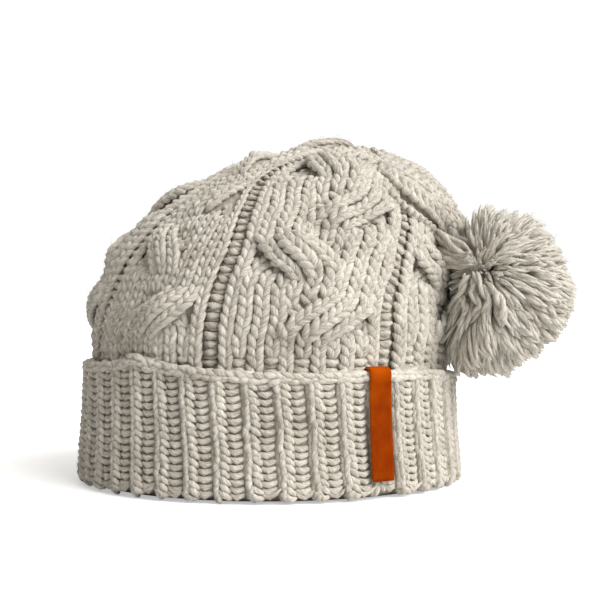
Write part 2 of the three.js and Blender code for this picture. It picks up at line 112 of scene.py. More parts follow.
# Soft hills and hollows on the crown's front: where, how wide and how high
CROWN_HILLS = (
    ((40, -56, 161), 16, 6.0),
    ((47, -71, 141), 7, -3.5),
    ((26, -79, 139), 10, -6.0),
    ((20, -90, 122), 12, 2.5),
    ((29, -94, 90), 13, 2.5),
    ((4, -94, 118), 7, -2.0),
    ((-51, -83, 90), 13, 2.0),
    ((86, -45, 116), 9, 2.0),
    ((73, -62, 116), 9, -1.5),
    ((62, -15, 178), 18, -4.5),
    ((83, -20, 163), 16, -3.0),
)

# Azimuths in degrees of the six purl gutters between the cable panels, on the way up the crown
GUTTER_NAMES = ("right", "front", "left", "back_left", "back_right", "side")
GUTTERS = table(
    ("along",) + GUTTER_NAMES,
    (0.0, -51.5, -107, -162, -222, -284, -348),
    (0.28, -51.5, -107, -158, -220, -284, -349),
    (0.4, -52, -106.5, -150, -215, -284, -350),
    (0.5, -47, -106, -147, -212, -284, -350),
    (0.6, -45, -111.5, -148, -212, -284, -349),
    (0.7, -45, -121, -155, -216, -284, -346),
    (0.8, -39, -124, -166, -224, -286, -344),
    (1.0, -36, -128, -178, -232, -290, -344),
)

# The pleat on a flat chart of the crown, whose middle is the point that the wales run to
PLEAT = table(
    ("along", "front_x", "front_y", "back_x", "back_y", "rise"),
    (0.0, 0.035, -0.15, -0.07, 0.17, 0.0),
    (0.2, 0.108, -0.2, 0.02, 0.22, 0.3),
    (0.4, 0.184, -0.22, 0.12, 0.225, 0.6),
    (0.6, 0.26, -0.211, 0.225, 0.185, 0.9),
    (0.8, 0.339, -0.171, 0.325, 0.1, 1.15),
    (1.0, 0.405, -0.115, 0.41, 0.0, 1.0),
)

# Height of the cuff's free edge round the hat, as shares of its height
CUFF_EDGE = table(
    ("azimuth", "height"),
    (-180, 1.01),
    (-138, 1.06),
    (-131, 1.12),
    (-125, 1.07),
    (-110, 1.025),
    (-90, 0.99),
    (-58, 0.995),
    (-34, 0.98),
    (0, 0.91),
    (60, 0.97),
    (120, 1.0),
    (180, 1.01),
)

# The plait's crossings on the way up, and the middle and tip of the crown's gathered end
FIRST_CROSSING = 0.362
CROSSING_STEP = 0.134
CROSSING_REACH = 0.055
CROSSINGS = 6
CROSSING_LIFT = 0.6
CROSSING_SHOVE = 0.22
STRAND_REACH = 0.57
STRAND_ROUND = 0.6
STRAND_LIFT = 1.9
WIDEST_SPREAD = 1.55
GATHER = (0.42, -0.075)
NECK_DIRECTION = np.array([0.72, -0.33, -0.6]) / np.linalg.norm([0.72, -0.33, -0.6])
POMPOM_HANG = np.array([0.52, -0.16, -0.26])

# Yarn and gauge
YARN_RADIUS = 2.05
TWIST_LENGTH = 14
PLY_OFFSET = 0.55
PLY_RADIUS = 0.62
CROWN_PITCH = 4.9
GUTTER_PITCH = 4.7
CUFF_PITCH = 3.6
NARROWEST_WALE = 4.3
USUAL_WALE = 8.3
PURL_WALE = 6.5
RIB_TOP = 73.5
CROWN_STITCHES = (0.17, 0.985)
SIDE_WALE = 1.1
SIDE_SINK = 1.5
GUTTER_SINK = 0.9
STITCH_SINK = 1.4
LOWEST_STITCH = 3.6
CLOTH_SINK = 2.7

rng = np.random.default_rng(7)


def unit(vectors):
    return vectors / np.maximum(np.linalg.norm(vectors, axis=-1, keepdims=True), 1e-9)


def dot(a, b):
    return np.sum(a * b, axis=-1, keepdims=True)


def around(turn, side, up):
    """Directions at each turn from side towards up."""
    return np.cos(turn)[..., None] * side + np.sin(turn)[..., None] * up


def arc(start, bend, end, t):
    """Points at shares t of the curves from start to end that bend pulls out."""
    return (1 - t) ** 2 * start + 2 * t * (1 - t) * bend + t * t * end


def smoothstep(value, low, high):
    share = np.clip((value - low) / (high - low), 0, 1)
    return share * share * (3 - 2 * share)


def between(rows, place, name, at):
    """Smooth values between a table's rows, by cubic curves through neighbouring rows."""
    x, y = rows[place], rows[name]
    slope = np.gradient(y)
    slope[1:-1] = (y[2:] - y[:-2]) / (x[2:] - x[:-2])
    slope[0] = (y[1] - y[0]) / (x[1] - x[0])
    slope[-1] = (y[-1] - y[-2]) / (x[-1] - x[-2])
    i = np.clip(np.searchsorted(x, at) - 1, 0, len(x) - 2)
    span = x[i + 1] - x[i]
    t = np.clip((at - x[i]) / span, 0, 1)
    low = y[i] * (2 * t**3 - 3 * t**2 + 1) + slope[i] * span * (t**3 - 2 * t**2 + t)
    high = y[i + 1] * (3 * t**2 - 2 * t**3) + slope[i + 1] * span * (t**3 - t**2)
    return low + high


def crown_form(azimuth, along):
    """Points of the crown's smooth outer form."""
    azimuth, along = np.broadcast_arrays(azimuth, along)
    at = {name: between(CROWN_SECTIONS, "along", name, along) for name in CROWN_SECTIONS}
    left = at["left"] * CROWN_HALF_WIDTH
    right = at["right"] * CROWN_HALF_WIDTH
    left_height = CROWN_BASE + at["left_height"] * CROWN_RISE
    right_height = CROWN_BASE + at["right_height"] * CROWN_RISE
    turn = np.cos(azimuth)
    x = (left + right) / 2 + (right - left) / 2 * turn
    y = at["depth"] * CROWN_HALF_DEPTH * np.sin(azimuth)
    z = (left_height + right_height) / 2 + (right_height - left_height) / 2 * turn
    return np.stack([x, y, z], axis=-1)


def normal_of(surface, azimuth, along):
    step = 0.004
    high = np.minimum(along, 1 - 2 * step)
    around = surface(azimuth + step, high) - surface(azimuth - step, high)
    up = surface(azimuth, high + step) - surface(azimuth, np.maximum(high - step, 0))
    return unit(np.cross(around, up))


def crown_point(azimuth, along):
    """Points of the crown with its soft hills and hollows."""
    form = crown_form(azimuth, along)
    rise = np.zeros(form.shape[:-1])
    for centre, radius, height in CROWN_HILLS:
        apart = np.sum((form - np.array(centre, float)) ** 2, axis=-1)
        rise = rise + height * np.exp(-apart / radius**2)
    return form + normal_of(crown_form, azimuth, along) * rise[..., None]


def crown_normal(azimuth, along):
    return normal_of(crown_point, azimuth, along)


def azimuth_of(wale, along):
    """Azimuth of a wale, counted clockwise from the front right gutter, at a height."""
    wale, along = np.broadcast_arrays(wale, along)
    edges = np.stack([between(GUTTERS, "along", name, along) for name in GUTTER_NAMES])
    edges = np.concatenate([edges, edges[:1] - 360])
    panel = np.floor(wale / PANEL_WALES).astype(int)
    share = wale / PANEL_WALES - panel
    turn = panel // len(GUTTER_NAMES)
    panel = panel % len(GUTTER_NAMES)
    right = np.take_along_axis(edges, panel[None], 0)[0]
    left = np.take_along_axis(edges, panel[None] + 1, 0)[0]
    return np.radians(right + (left - right) * share - 360 * turn)


def strand_paths(along):
    """Places of the plait's strands across a panel, in wales from its middle, and their lifts."""
    places = np.array([-STRAND_WALES, 0, STRAND_WALES], float)
    order = [0, 1, 2]
    place = np.repeat(places[:, None], len(along), 1)
    lift = np.zeros((3, len(along)))
    for crossing in range(CROSSINGS):
        middle = FIRST_CROSSING + crossing * CROSSING_STEP
        share = np.clip((along - middle) / (2 * CROSSING_REACH) + 0.5, 0, 1)
        outer = 0 if crossing % 2 == 0 else 2
        over, under = order[1], order[outer]
        moving = share > 0
        smooth = smoothstep(share, 0, 1)
        rise = CROSSING_LIFT * np.sin(np.pi * share) ** 0.8
        place[over][moving] = (places[outer] * smooth)[moving]
        place[under][moving] = (places[outer] * (1 - smooth))[moving]
        lift[over][moving] = rise[moving]
        lift[under][moving] = -rise[moving]
        aside = order[2 - outer]
        place[aside] -= np.sign(places[2 - outer]) * CROSSING_SHOVE * np.sin(np.pi * share)
        order[1], order[outer] = under, over
    return place, lift


def strand_relief(across, lift):
    """Height of a strand's rounded back, across wales from the strand's middle."""
    share = across / (STRAND_REACH * STRAND_WALES)
    round_share = np.sqrt(np.clip(1 - share * share, 0, 1))
    return CABLE_RISE * (round_share * (STRAND_ROUND + STRAND_LIFT * lift) - 0.5)


def strand_spread(base, place, along):
    """How much wider a strand lies across the panel where it slants, so that it keeps its own width."""
    middle = base + PANEL_WALES / 2
    path = crown_point(azimuth_of(middle, along), along)
    step = np.linalg.norm(np.gradient(path, along, axis=0), axis=-1)
    wale = np.linalg.norm(crown_point(azimuth_of(middle + 0.5, along), along)
                          - crown_point(azimuth_of(middle - 0.5, along), along), axis=-1)
    slope = np.gradient(place, along) * wale / step
    return np.minimum(np.sqrt(1 + slope * slope), WIDEST_SPREAD) + 0.05


def tubes(centre, out, half_width, half_height, sides, tint, sunk):
    """Closed tubes along many centrelines at once: centre is (tubes, rings, 3)."""
    count, rings = centre.shape[:2]
    tangent = unit(np.gradient(centre, axis=1))
    if out.ndim == 2:
        out = out[:, None]
    side = unit(np.cross(tangent, out))
    up = np.cross(side, tangent)
    turn = 2 * np.pi * np.arange(sides) / sides
    across = (half_width[..., None] * np.cos(turn))[..., None] * side[:, :, None]
    above = (half_height[..., None] * np.sin(turn))[..., None] * up[:, :, None]
    points = (centre[:, :, None] + across + above).reshape(-1, 3)
    row, j = np.meshgrid(np.arange(rings - 1), np.arange(sides), indexing="ij")
    nxt = (j + 1) % sides
    low, high = row * sides, (row + 1) * sides
    quad = np.stack([low + j, high + j, high + nxt, low + nxt], -1).reshape(-1, 4)
    length = np.linalg.norm(np.diff(centre, axis=1), axis=-1)
    along = np.concatenate([np.zeros((count, 1)), np.cumsum(length, 1)], 1)
    along = along + rng.uniform(0, 400, (count, 1))
    quad_rows = np.stack([row, row + 1, row + 1, row], -1).reshape(-1)
    quad_turn = np.stack([j, j, j + 1, j + 1], -1).reshape(-1) / sides
    cap_low = np.arange(sides)
    cap_high = (rings - 1) * sides + np.arange(sides)[::-1]
    starts = (np.arange(count) * rings * sides)[:, None]
    loops = np.concatenate([quad.reshape(-1), cap_low, cap_high])
    all_loops = (loops[None] + starts).reshape(-1)
    totals = np.concatenate([np.full(len(quad), 4), [sides, sides]])
    u_rows = np.concatenate([quad_rows, np.zeros(sides, int), np.full(sides, rings - 1)])
    v_turn = np.concatenate([quad_turn, np.arange(sides) / sides, np.arange(sides)[::-1] / sides])
    uv = np.stack([along[:, u_rows], v_turn + along[:, u_rows] / TWIST_LENGTH], -1)

    def per_point(value):
        value = np.asarray(value, float)
        if value.ndim < 2:
            value = np.broadcast_to(value, (count,))[:, None]
        return np.repeat(np.broadcast_to(value, (count, rings)).reshape(-1), sides)

    return {
        "points": points,
        "loops": all_loops,
        "totals": np.tile(totals, count),
        "uv": uv.reshape(-1, 2),
        "tint": per_point(tint),
        "sunk": per_point(sunk),
        "grid": (count, rings, sides),
    }


def sheet_of(points, closed, tint, sunk, flip=False):
    """A smooth sheet through a grid of points, closed where its last column meets its first."""
    rows, columns = points.shape[:2]
    bands = columns if closed else columns - 1
    i, j = np.meshgrid(np.arange(rows - 1), np.arange(bands), indexing="ij")
    nxt = (j + 1) % columns
    low, high = i * columns, (i + 1) * columns
    quad = np.stack([low + j, low + nxt, high + nxt, high + j], -1)
    if flip:
        quad = quad[..., ::-1]
    step = np.linalg.norm(np.diff(points, axis=0), axis=-1).mean()
    turn = np.linalg.norm(np.diff(points, axis=1), axis=-1).mean()
    u = np.stack([i, i, i + 1, i + 1], -1) * step
    v = np.stack([j, j + 1, j + 1, j], -1) * turn
    if flip:
        u, v = u[..., ::-1], v[..., ::-1]
    size = rows * columns
    return {
        "points": points.reshape(-1, 3),
        "loops": quad.reshape(-1),
        "totals": np.full(quad.shape[0] * quad.shape[1], 4),
        "uv": np.stack([u.reshape(-1), v.reshape(-1)], -1),
        "tint": np.broadcast_to(tint, (size,)),
        "sunk": np.broadcast_to(sunk, (size,)),
    }


def make_piece(name, parts, slot, replaced=None):
    """One mesh object from tubes and sheets, in metres in the row's frame, flat where it meets the floor."""
    points = np.concatenate([part["points"] for part in parts]) * MM + (AXIS_X, 0, 0)
    points[:, 2] = np.maximum(points[:, 2], 0)
    offsets = np.cumsum([0] + [len(part["points"]) for part in parts[:-1]])
    loops = np.concatenate([part["loops"] + offset for part, offset in zip(parts, offsets)])
    totals = np.concatenate([part["totals"] for part in parts])
    mesh = bpy.data.meshes.new(name)
    mesh.vertices.add(len(points))
    mesh.vertices.foreach_set("co", points.astype(np.float32).reshape(-1))
    mesh.loops.add(len(loops))
    mesh.loops.foreach_set("vertex_index", loops.astype(np.int32))
    mesh.polygons.add(len(totals))
    starts = np.concatenate([[0], np.cumsum(totals)[:-1]])
    mesh.polygons.foreach_set("loop_start", starts.astype(np.int32))
    mesh.polygons.foreach_set("loop_total", totals.astype(np.int32))
    mesh.polygons.foreach_set("use_smooth", np.ones(len(totals), bool))
    layer = mesh.uv_layers.new(name="yarn")
    uv = np.concatenate([part["uv"] for part in parts])
    layer.data.foreach_set("uv", uv.astype(np.float32).reshape(-1))
    # Each point carries its tone and its amount of painted shade, which the yarn material reads
    for attribute in ("tint", "sunk"):
        values = np.concatenate([part[attribute] for part in parts]).astype(np.float32)
        mesh.attributes.new(attribute, "FLOAT", "POINT").data.foreach_set("value", values)
    mesh.update(calc_edges=True)
    mesh.validate()
    mesh.materials.append(MATERIALS[slot])
    piece = bpy.data.objects.new(name, mesh)
    bpy.context.scene.collection.objects.link(piece)
    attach(piece, "root")
    if replaced:
        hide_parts(replaced)


def frames_along(surface, first, last, pitch):
    """Evenly spaced places along a column of stitches, each with its directions, width and spacing.

    surface(along, across) gives points, with across in wales to the right seen from outside."""
    along = np.linspace(first, last, 240)
    centre = surface(along, 0.0)
    across = (surface(along, 0.25) - surface(along, -0.25)) / 0.5
    tangent = unit(np.gradient(centre, axis=0))
    across = across - dot(across, tangent) * tangent
    length = np.concatenate([[0], np.cumsum(np.linalg.norm(np.diff(centre, axis=0), axis=-1))])
    at = np.arange(0.5, max(length[-1] / pitch, 0.6), 1.0) * pitch

    def pick(values):
        return np.stack([np.interp(at, length, values[:, i]) for i in range(values.shape[1])], -1)

    side = pick(across)
    width = np.linalg.norm(side, axis=-1)
    side = unit(side)
    tangent = unit(pick(tangent))
    return {
        "point": pick(centre),
        "up": tangent,
        "side": side,
        "out": unit(np.cross(side, tangent)),
        "width": width,
        "along": np.interp(at, length, along),
        "pitch": np.full(len(at), pitch),
        "tint": np.full(len(at), 0.5),
        "sunk": np.zeros(len(at)),
    }


def joined(frames):
    return {key: np.concatenate([one[key] for one in frames]) for key in frames[0]}


def picked(places, mask):
    return {key: values[mask] for key, values in places.items()}


# Where the rings of a grain of yarn are along it
GRAIN_SHARES = np.array([0.0, 0.18, 0.5, 0.82, 1.0])

# Paths of the grains: three points each as (right, up, out) from the middle of the stitch, in wales, rows
# and yarn radii. On the turned-up cuff, right and up are left and down, and a wale is a whole rib.
LEFT_LEG = ((0.1, -0.76, -0.95), (-0.19, -0.02, 0.3), (-0.42, 0.78, -0.8))
RIGHT_LEG = ((0.06, -0.86, -0.75), (0.24, 0.0, 0.15), (0.36, 0.92, -0.6))
PURL_LENS = ((-0.56, 0.07, -1.0), (0, -0.08, 0.25), (0.56, 0.17, -1.0))
PURL_STRAND = ((-0.5, 0.62, -1.1), (0.0, 0.45, -0.75), (0.5, 0.66, -1.1))
FOOT_STITCH = ((-0.1, -0.72, -0.9), (0.0, 0.0, 0.6), (0.1, 0.72, -0.5))
RIB_RIDGE = ((0.07, -0.95, -0.55), (0.066, 0.0, 0.14), (0.082, 0.95, -0.45))
RIB_SLOPE = ((0.15, -0.95, -0.95), (0.142, 0.0, -0.5), (0.155, 0.95, -0.9))
RIB_ROPE = ((0.035, -0.85, -0.8), (-0.12, -0.22, 0.2), (-0.29, 0.5, -0.7))
RIB_BUMP = ((-0.22, -0.42, -1.2), (-0.5, 0.32, -0.3), (-0.8, -0.32, -1.8))


def grains(places, path, thick, tall, sides=8, taper=0.4, wobble=0.05, blunt=0.6):
    """One plump grain of yarn along a path at each place."""
    count = len(places["width"])

    def put(local):
        local = np.asarray(local, float) + rng.normal(0, wobble, (count, 3)) * (0.6, 0.6, 0.8)
        shift = places["side"] * (local[:, :1] * places["width"][:, None])
        shift = shift + places["up"] * (local[:, 1:2] * places["pitch"][:, None])
        return places["point"] + shift + places["out"] * (local[:, 2:] * YARN_RADIUS)

    start, middle, end = (put(local)[:, None] for local in path)
    centre = arc(start, 2 * middle - (start + end) / 2, end, GRAIN_SHARES[:, None])
    swell = taper + (1 - taper) * np.sin(np.pi * GRAIN_SHARES) ** blunt
    size = rng.normal(1, 0.05, (count, 1))
    tint = places["tint"] + rng.normal(0, 0.08, count)
    return tubes(centre, places["out"], thick[:, None] * size * swell, tall[:, None] * size * swell,
                 sides, np.clip(tint, 0, 1), places["sunk"])


def knit(places, sides=8):
    """Knit stitches: a plump slanted left leg and a longer upright right leg each."""
    thick = 0.125 * (places["width"] + np.minimum(USUAL_WALE, 1.25 * places["width"]))
    left = grains(places, LEFT_LEG, 0.98 * thick, 0.98 * thick, sides, taper=0.5)
    right = grains(places, RIGHT_LEG, 0.93 * thick, 0.92 * thick, sides, taper=0.65)
    return [left, right]


def purl(places):
    """Purl bumps: a fat lens of yarn with pointed ends across the column each, over the strand behind it."""
    thick = YARN_RADIUS * np.minimum(1, places["width"] / PURL_WALE)
    thick = thick * np.where(places["sunk"] > 0, 1.0, 1.2)
    lens = grains(places, PURL_LENS, 0.95 * thick, 0.95 * thick, sides=7, taper=0.1, wobble=0.13, blunt=0.9)
    strand = grains(places, PURL_STRAND, 0.8 * thick, 0.7 * thick, sides=5, taper=0.6)
    return [lens, strand]


def crown_column(rows, wales, height, widen=1.0):
    """The surface that a column of crown stitches lies on: its wales and height at rows up the crown."""
    wales, height, widen = (np.broadcast_to(values, rows.shape) for values in (wales, height, widen))

    def surface(along, across):
        across = across * np.interp(along, rows, widen)
        azimuth = azimuth_of(np.interp(along, rows, wales) - across, along)
        lift = np.interp(along, rows, height)[..., None]
        return crown_point(azimuth, along) + crown_normal(azimuth, along) * lift
    return surface


# The pleat's columns of stitches, and the row of slanted ones along its foot: where it lies across the
# pleat, a wale's share of the pleat's width, its lift, and its stitches' spacing, width and radius
PLEAT_COLUMNS = 10
PLEAT_PURL_COLUMN = 3
PLEAT_STITCH_SINK = 1.0
PLEAT_CLOTH_SINK = 2.6
FOOT_PLACE = -0.07
FOOT_WALE = 0.115
FOOT_LIFT = 1.2
FOOT_PITCH = 4.3
FOOT_WIDTH = 7.6
FOOT_RADIUS = 2.0


def pleat_round(across):
    """Share of the pleat's rise at a share of the way across it."""
    steep = 1 - np.clip(across / 0.16, 0, 1)
    return np.sqrt(1 - steep * steep) * (1 - smoothstep(across, 0.35, 1))


def pleat_point(along, across, lift):
    """Points on the pleat that folds over the crown's front, from its front edge to its back edge."""
    along, across = np.broadcast_arrays(along, across)
    at = {name: between(PLEAT, "along", name, along) for name in PLEAT}
    x = at["front_x"] + (at["back_x"] - at["front_x"]) * across
    y = at["front_y"] + (at["back_y"] - at["front_y"]) * across
    height = at["rise"] * PLEAT_RISE * pleat_round(across) + lift
    chart_along = 1 - np.hypot(x, y)
    azimuth = np.arctan2(y, x)
    return crown_point(azimuth, chart_along) + crown_normal(azimuth, chart_along) * height[..., None]


def under_pleat(points):
    """Which points lie under the pleat, where no stitch shows."""
    along, across = np.meshgrid(np.linspace(0.16, 1.0, 40), np.linspace(0.03, 0.85, 30), indexing="ij")
    cover = pleat_point(along, across, 0.0).reshape(-1, 3)
    rise = between(PLEAT, "along", "rise", along.reshape(-1)) * PLEAT_RISE * pleat_round(across.reshape(-1))
    cover = cover[rise > 3.2]
    rise = rise[rise > 3.2]
    apart = np.linalg.norm(points[:, None] - cover[None], axis=-1) - rise[None]
    return apart.min(1) < 1.5


def columns_kept(wale):
    """Which stitches are kept where a strand has three, two or one columns, by the width of a wale."""
    return {
        3: wale >= NARROWEST_WALE,
        2: (wale < NARROWEST_WALE) & (1.5 * wale >= NARROWEST_WALE),
        1: (1.5 * wale < NARROWEST_WALE) & (3 * wale >= 0.8 * NARROWEST_WALE),
    }


def crown_places():
    """Places of all the crown's knit and purl stitches, panel by panel."""
    first, last = CROWN_STITCHES
    panels = []
    rows = np.linspace(0, 1, 400)
    fade = 1 - smoothstep(rows, 0.8, 0.95)
    place, lift = strand_paths(rows)
    for panel in range(len(GUTTER_NAMES)):
        base = panel * PANEL_WALES
        gutter = crown_column(rows, base, -CABLE_RISE / 2 - GUTTER_SINK)
        places = frames_along(gutter, first, last, GUTTER_PITCH)
        # Painted shade: the purl stitches in the sunken gutters are darkened a little
        places["sunk"] = np.full(len(places["width"]), 0.15)
        purls = [picked(places, places["width"] > 0.6 * NARROWEST_WALE)]
        knits = []
        for wale in (SIDE_WALE, PANEL_WALES - SIDE_WALE):
            places = frames_along(crown_column(rows, base + wale, -SIDE_SINK), first, last, CROWN_PITCH)
            knits.append(picked(places, places["width"] > 0.62 * NARROWEST_WALE))
        for strand in range(3):
            spread = strand_spread(base, place[strand], rows)
            for columns in (3, 2, 1):
                spacing = STRAND_WALES / columns
                for column in range(columns):
                    offset = (column - (columns - 1) / 2) * spacing
                    height = strand_relief(offset, lift[strand]) * fade - STITCH_SINK
                    height = np.maximum(height, -LOWEST_STITCH)
                    wales = base + PANEL_WALES / 2 + place[strand] + offset * spread
                    surface = crown_column(rows, wales, height, spacing * spread)
                    places = frames_along(surface, first, last, CROWN_PITCH)
                    along = places["along"]
                    wale = np.interp(along, rows, wales)
                    width = np.linalg.norm(crown_point(azimuth_of(wale + 1, along), along)
                                           - crown_point(azimuth_of(wale, along), along), axis=-1)
                    places = picked(places, columns_kept(width)[columns])
                    if round(offset + place[strand][0]) % 2 == 0:
                        ribbed = places["point"][:, 2] < RIB_TOP
                        purls.append(picked(places, ribbed))
                        places = picked(places, ~ribbed)
                    knits.append(places)
        kinds = (joined(knits), joined(purls))
        panels.append([picked(places, ~under_pleat(places["point"])) for places in kinds])
    return panels


def crown_backing():
    """The cloth under the stitches and the crown's inner wall, as one closed shell, darkened as painted
    shade where it shows between the stitches.
    """
    wale = np.linspace(0, len(GUTTER_NAMES) * PANEL_WALES, 145)[:-1]
    along = np.linspace(0, 0.998, 70)
    along_grid, wale_grid = np.meshgrid(along, wale, indexing="ij")
    azimuth = azimuth_of(wale_grid, along_grid)
    form = crown_point(azimuth, along_grid)
    normal = crown_normal(azimuth, along_grid)
    normal[0, :, 2] = 0
    normal = unit(normal)
    in_panel = wale_grid % PANEL_WALES
    from_gutter = np.minimum(in_panel, PANEL_WALES - in_panel)
    relief = -CABLE_RISE / 2 - GUTTER_DEPTH * np.clip(1 - from_gutter, 0, 1)
    place, lift = strand_paths(along)
    for strand in range(3):
        across = in_panel - PANEL_WALES / 2 - place[strand][:, None]
        relief = np.maximum(relief, strand_relief(across, lift[strand][:, None]))
    outer = form + normal * (relief - CLOTH_SINK)[..., None]
    inner = crown_form(azimuth, along_grid)
    inner = inner - normal_of(crown_form, azimuth, along_grid) * (CROWN_WALL - 0.3)
    top = np.repeat(outer[-1:].mean(1, keepdims=True), len(wale), 1)
    inner_top = np.repeat(inner[-1:].mean(1, keepdims=True), len(wale), 1)
    shell = np.concatenate([inner_top, inner[::-1], outer, top])
    # A lower tone and painted shade darken the cloth that shows between the stitches
    return sheet_of(shell, True, 0.45, 0.4)


def pleat_parts():
    """The pleat's columns of knit and purl stitches, the slanted row along its foot, and its cloth."""
    knits, purls = [], []
    for column in range(PLEAT_COLUMNS):
        centre = (column + 0.45) / PLEAT_COLUMNS

        def surface(along, across, centre=centre):
            return pleat_point(along, centre + across / PLEAT_COLUMNS, -PLEAT_STITCH_SINK)

        first = 0.05 if column else 0.16
        places = frames_along(surface, first, 0.99, CROWN_PITCH)
        places = picked(places, places["width"] > 0.5 * NARROWEST_WALE)
        (purls if column == PLEAT_PURL_COLUMN else knits).append(places)

    def foot(along, across):
        return pleat_point(along, FOOT_PLACE + across * FOOT_WALE, FOOT_LIFT)

    row = frames_along(foot, 0.34, 0.97, FOOT_PITCH)
    row["width"] = np.full(len(row["width"]), FOOT_WIDTH)
    thick = np.full(len(row["width"]), FOOT_RADIUS)
    slanted = grains(row, FOOT_STITCH, thick, thick, taper=0.2, blunt=0.9)
    along, across = np.meshgrid(np.linspace(0.0, 1.0, 40), np.linspace(0.0, 1.0, 36), indexing="ij")
    cloth = pleat_point(along, across, -PLEAT_CLOTH_SINK)
    # The pleat's cloth is darkened as painted shade where it shows between the stitches
    cloth = sheet_of(cloth[:, ::-1], False, 0.45, 0.6)
    return knit(joined(knits)) + purl(joined(purls)) + [slanted, cloth]


def axis_frame(direction):
    side = unit(np.cross((0, 0, 1), direction))
    return side, np.cross(direction, side)


gather_azimuth = math.atan2(GATHER[1], GATHER[0])
gather_point = crown_point(np.array([gather_azimuth]), np.array([1 - math.hypot(*GATHER)]))[0]
neck_end = gather_point + NECK_DIRECTION * NECK_LENGTH
pompom_root = neck_end + NECK_DIRECTION * TIE_LENGTH
pompom_middle = pompom_root + POMPOM_HANG * POMPOM_HALF


def neck_parts():
    """Long folds of yarn that run from the crown into the tie."""
    side, up = axis_frame(NECK_DIRECTION)
    folds = NECK_FOLDS
    along = np.linspace(-4, NECK_LENGTH + 1.5, 8)
    radius = np.interp(along, (-4, 4, 8, 13, 16), (17.5, 13.2, 11.2, 9.2, 8.0))
    turn = 2 * np.pi * (np.arange(folds) + rng.uniform(-0.2, 0.2, folds)) / folds
    out = around(turn, side, up)
    swirl = unit(np.cross(NECK_DIRECTION, out))
    axis = gather_point + along[:, None] * NECK_DIRECTION
    centre = axis + radius[:, None] * out[:, None] + 0.12 * along[:, None] * swirl[:, None]
    swell = np.interp(along, (-4, 2, 8, 16), (0.5, 1.15, 1.0, 0.7))
    thick = 2.5 * swell[None] * rng.uniform(0.85, 1.15, (folds, 1))
    # Painted shade: the folds are darkened a little
    parts = [tubes(centre, out, thick, thick, 10, rng.uniform(0.35, 0.65, folds), 0.1)]
    circle = around(np.linspace(0, 2 * np.pi, 25)[:-1], side, up)
    rings = axis[:, None] + (radius - NECK_CLOTH_DEPTH)[:, None, None] * circle
    # The cloth under the folds is darkened as painted shade
    parts.append(sheet_of(rings, True, 0.4, 0.7))
    return parts


def twisted(path, radius, turns, sides, tint):
    """A yarn of two plies twisted round each other along a path."""
    count = len(path)
    tangent = unit(np.gradient(path, axis=0))
    side = unit(np.cross(tangent, (0.3, -0.8, 0.5)))
    up = np.cross(tangent, side)
    phase = np.linspace(0, 2 * np.pi * turns, count)
    plies = []
    for start in (0, np.pi):
        plies.append(path + PLY_OFFSET * radius * around(phase + start, side, up))
    plies = np.array(plies)
    ends = np.clip(np.minimum(np.arange(count), np.arange(count)[::-1]) / 2, 0, 1)
    thick = PLY_RADIUS * radius * (0.3 + 0.7 * ends)[None] * np.ones((2, 1))
    return tubes(plies, np.array([[0.2, -0.9, 0.3]] * 2), thick, thick, sides, tint, 0.0)


# Ends of the tie's yarn, as (x, z) places down the pompom's front, and their radii
YARN_ENDS = (
    (((102.5, 111.8), (100.0, 104.3), (98.0, 96.8)), 2.0),
    (((106.0, 109.0), (104.5, 102.0), (108.5, 95.5), (104.5, 87.0)), 1.9),
    (((110.0, 107.0), (116.5, 101.3), (119.5, 94.0), (119.0, 85.3)), 2.3),
    (((106.0, 113.0), (109.0, 105.0), (112.5, 97.8), (110.0, 88.8)), 1.9),
    (((100.0, 100.8), (102.0, 94.0), (99.0, 85.0)), 1.8),
)


def tie_parts():
    """Turns of twisted yarn round the neck's end, with the yarn's ends hanging down the pompom's front."""
    side, up = axis_frame(NECK_DIRECTION)
    turns = 3
    phase = np.linspace(0, 2 * np.pi * turns, 90)
    along = 1.4 + (TIE_LENGTH - 2.6) * phase / phase[-1]
    radius = TIE_RADIUS - 1.7
    path = neck_end + along[:, None] * NECK_DIRECTION + radius * around(phase, side, up)
    parts = [twisted(path, 1.9, 16, 7, 0.55)]
    t = np.linspace(0, 1, 16)
    proud = 1.2 + 2.4 * np.sin(np.pi * t)
    for ends, radius in YARN_ENDS:
        x, z = np.array(ends, float).T
        at = np.linspace(0, 1, len(x))
        path = [pompom_front(*place) for place in zip(np.interp(t, at, x), np.interp(t, at, z), proud)]
        parts.append(twisted(np.array(path), radius, 1.3, 8, 0.62))
    return parts


def collar_parts():
    """Long smooth folds that run from the crown's gathered edge to the hub of the pompom."""
    folds = COLLAR_FOLDS
    t = np.linspace(0, 1, 10)[:, None]
    centres = []
    for fold in range(folds):
        share = (fold + rng.uniform(-0.4, 0.4)) / (folds - 1)
        start = np.array([90.0 - 3.5 * abs(share - 0.4), -31.0 - 5 * share, 135.0 - 19 * share])
        start = start + rng.normal(0, 1.0, 3)
        end = np.array(COLLAR_HUB) - (0, 0, 4 * share) + rng.normal(0, 1.6, 3)
        bend = (start + end) / 2 + np.array([1.0, -4.5, 1.0 - 5 * share]) + rng.normal(0, 1.5, 3)
        centres.append(arc(start, bend, end, t))
    thick = rng.uniform(1.2, 2.1, (folds, 1)) * np.interp(t.T, (0, 0.2, 0.7, 1), (0.5, 1, 0.85, 0.35))
    thick = thick * rng.uniform(0.8, 1.2, thick.shape)
    bends = rng.uniform(0, 2 * np.pi, (folds, 1, 3)) + np.array([5.0, 6.5, 8.0]) * t
    centres = np.array(centres) + 0.8 * np.sin(bends) * np.sin(np.pi * t)
    out = np.repeat([[-0.3, -0.9, 0.2]], folds, 0)
    # Painted shade: the folds are darkened a little
    return [tubes(centres, out, thick, thick, 9, rng.uniform(0.35, 0.7, folds), 0.1)]


def tree_of(name):
    """A node's solid, to keep soft pieces clear of it."""
    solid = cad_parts[name].data
    return BVHTree.FromPolygons([vertex.co for vertex in solid.vertices],
                                [tuple(face.vertices) for face in solid.polygons])


def in_metres(point):
    return Vector((point[0] * MM + AXIS_X, point[1] * MM, point[2] * MM))


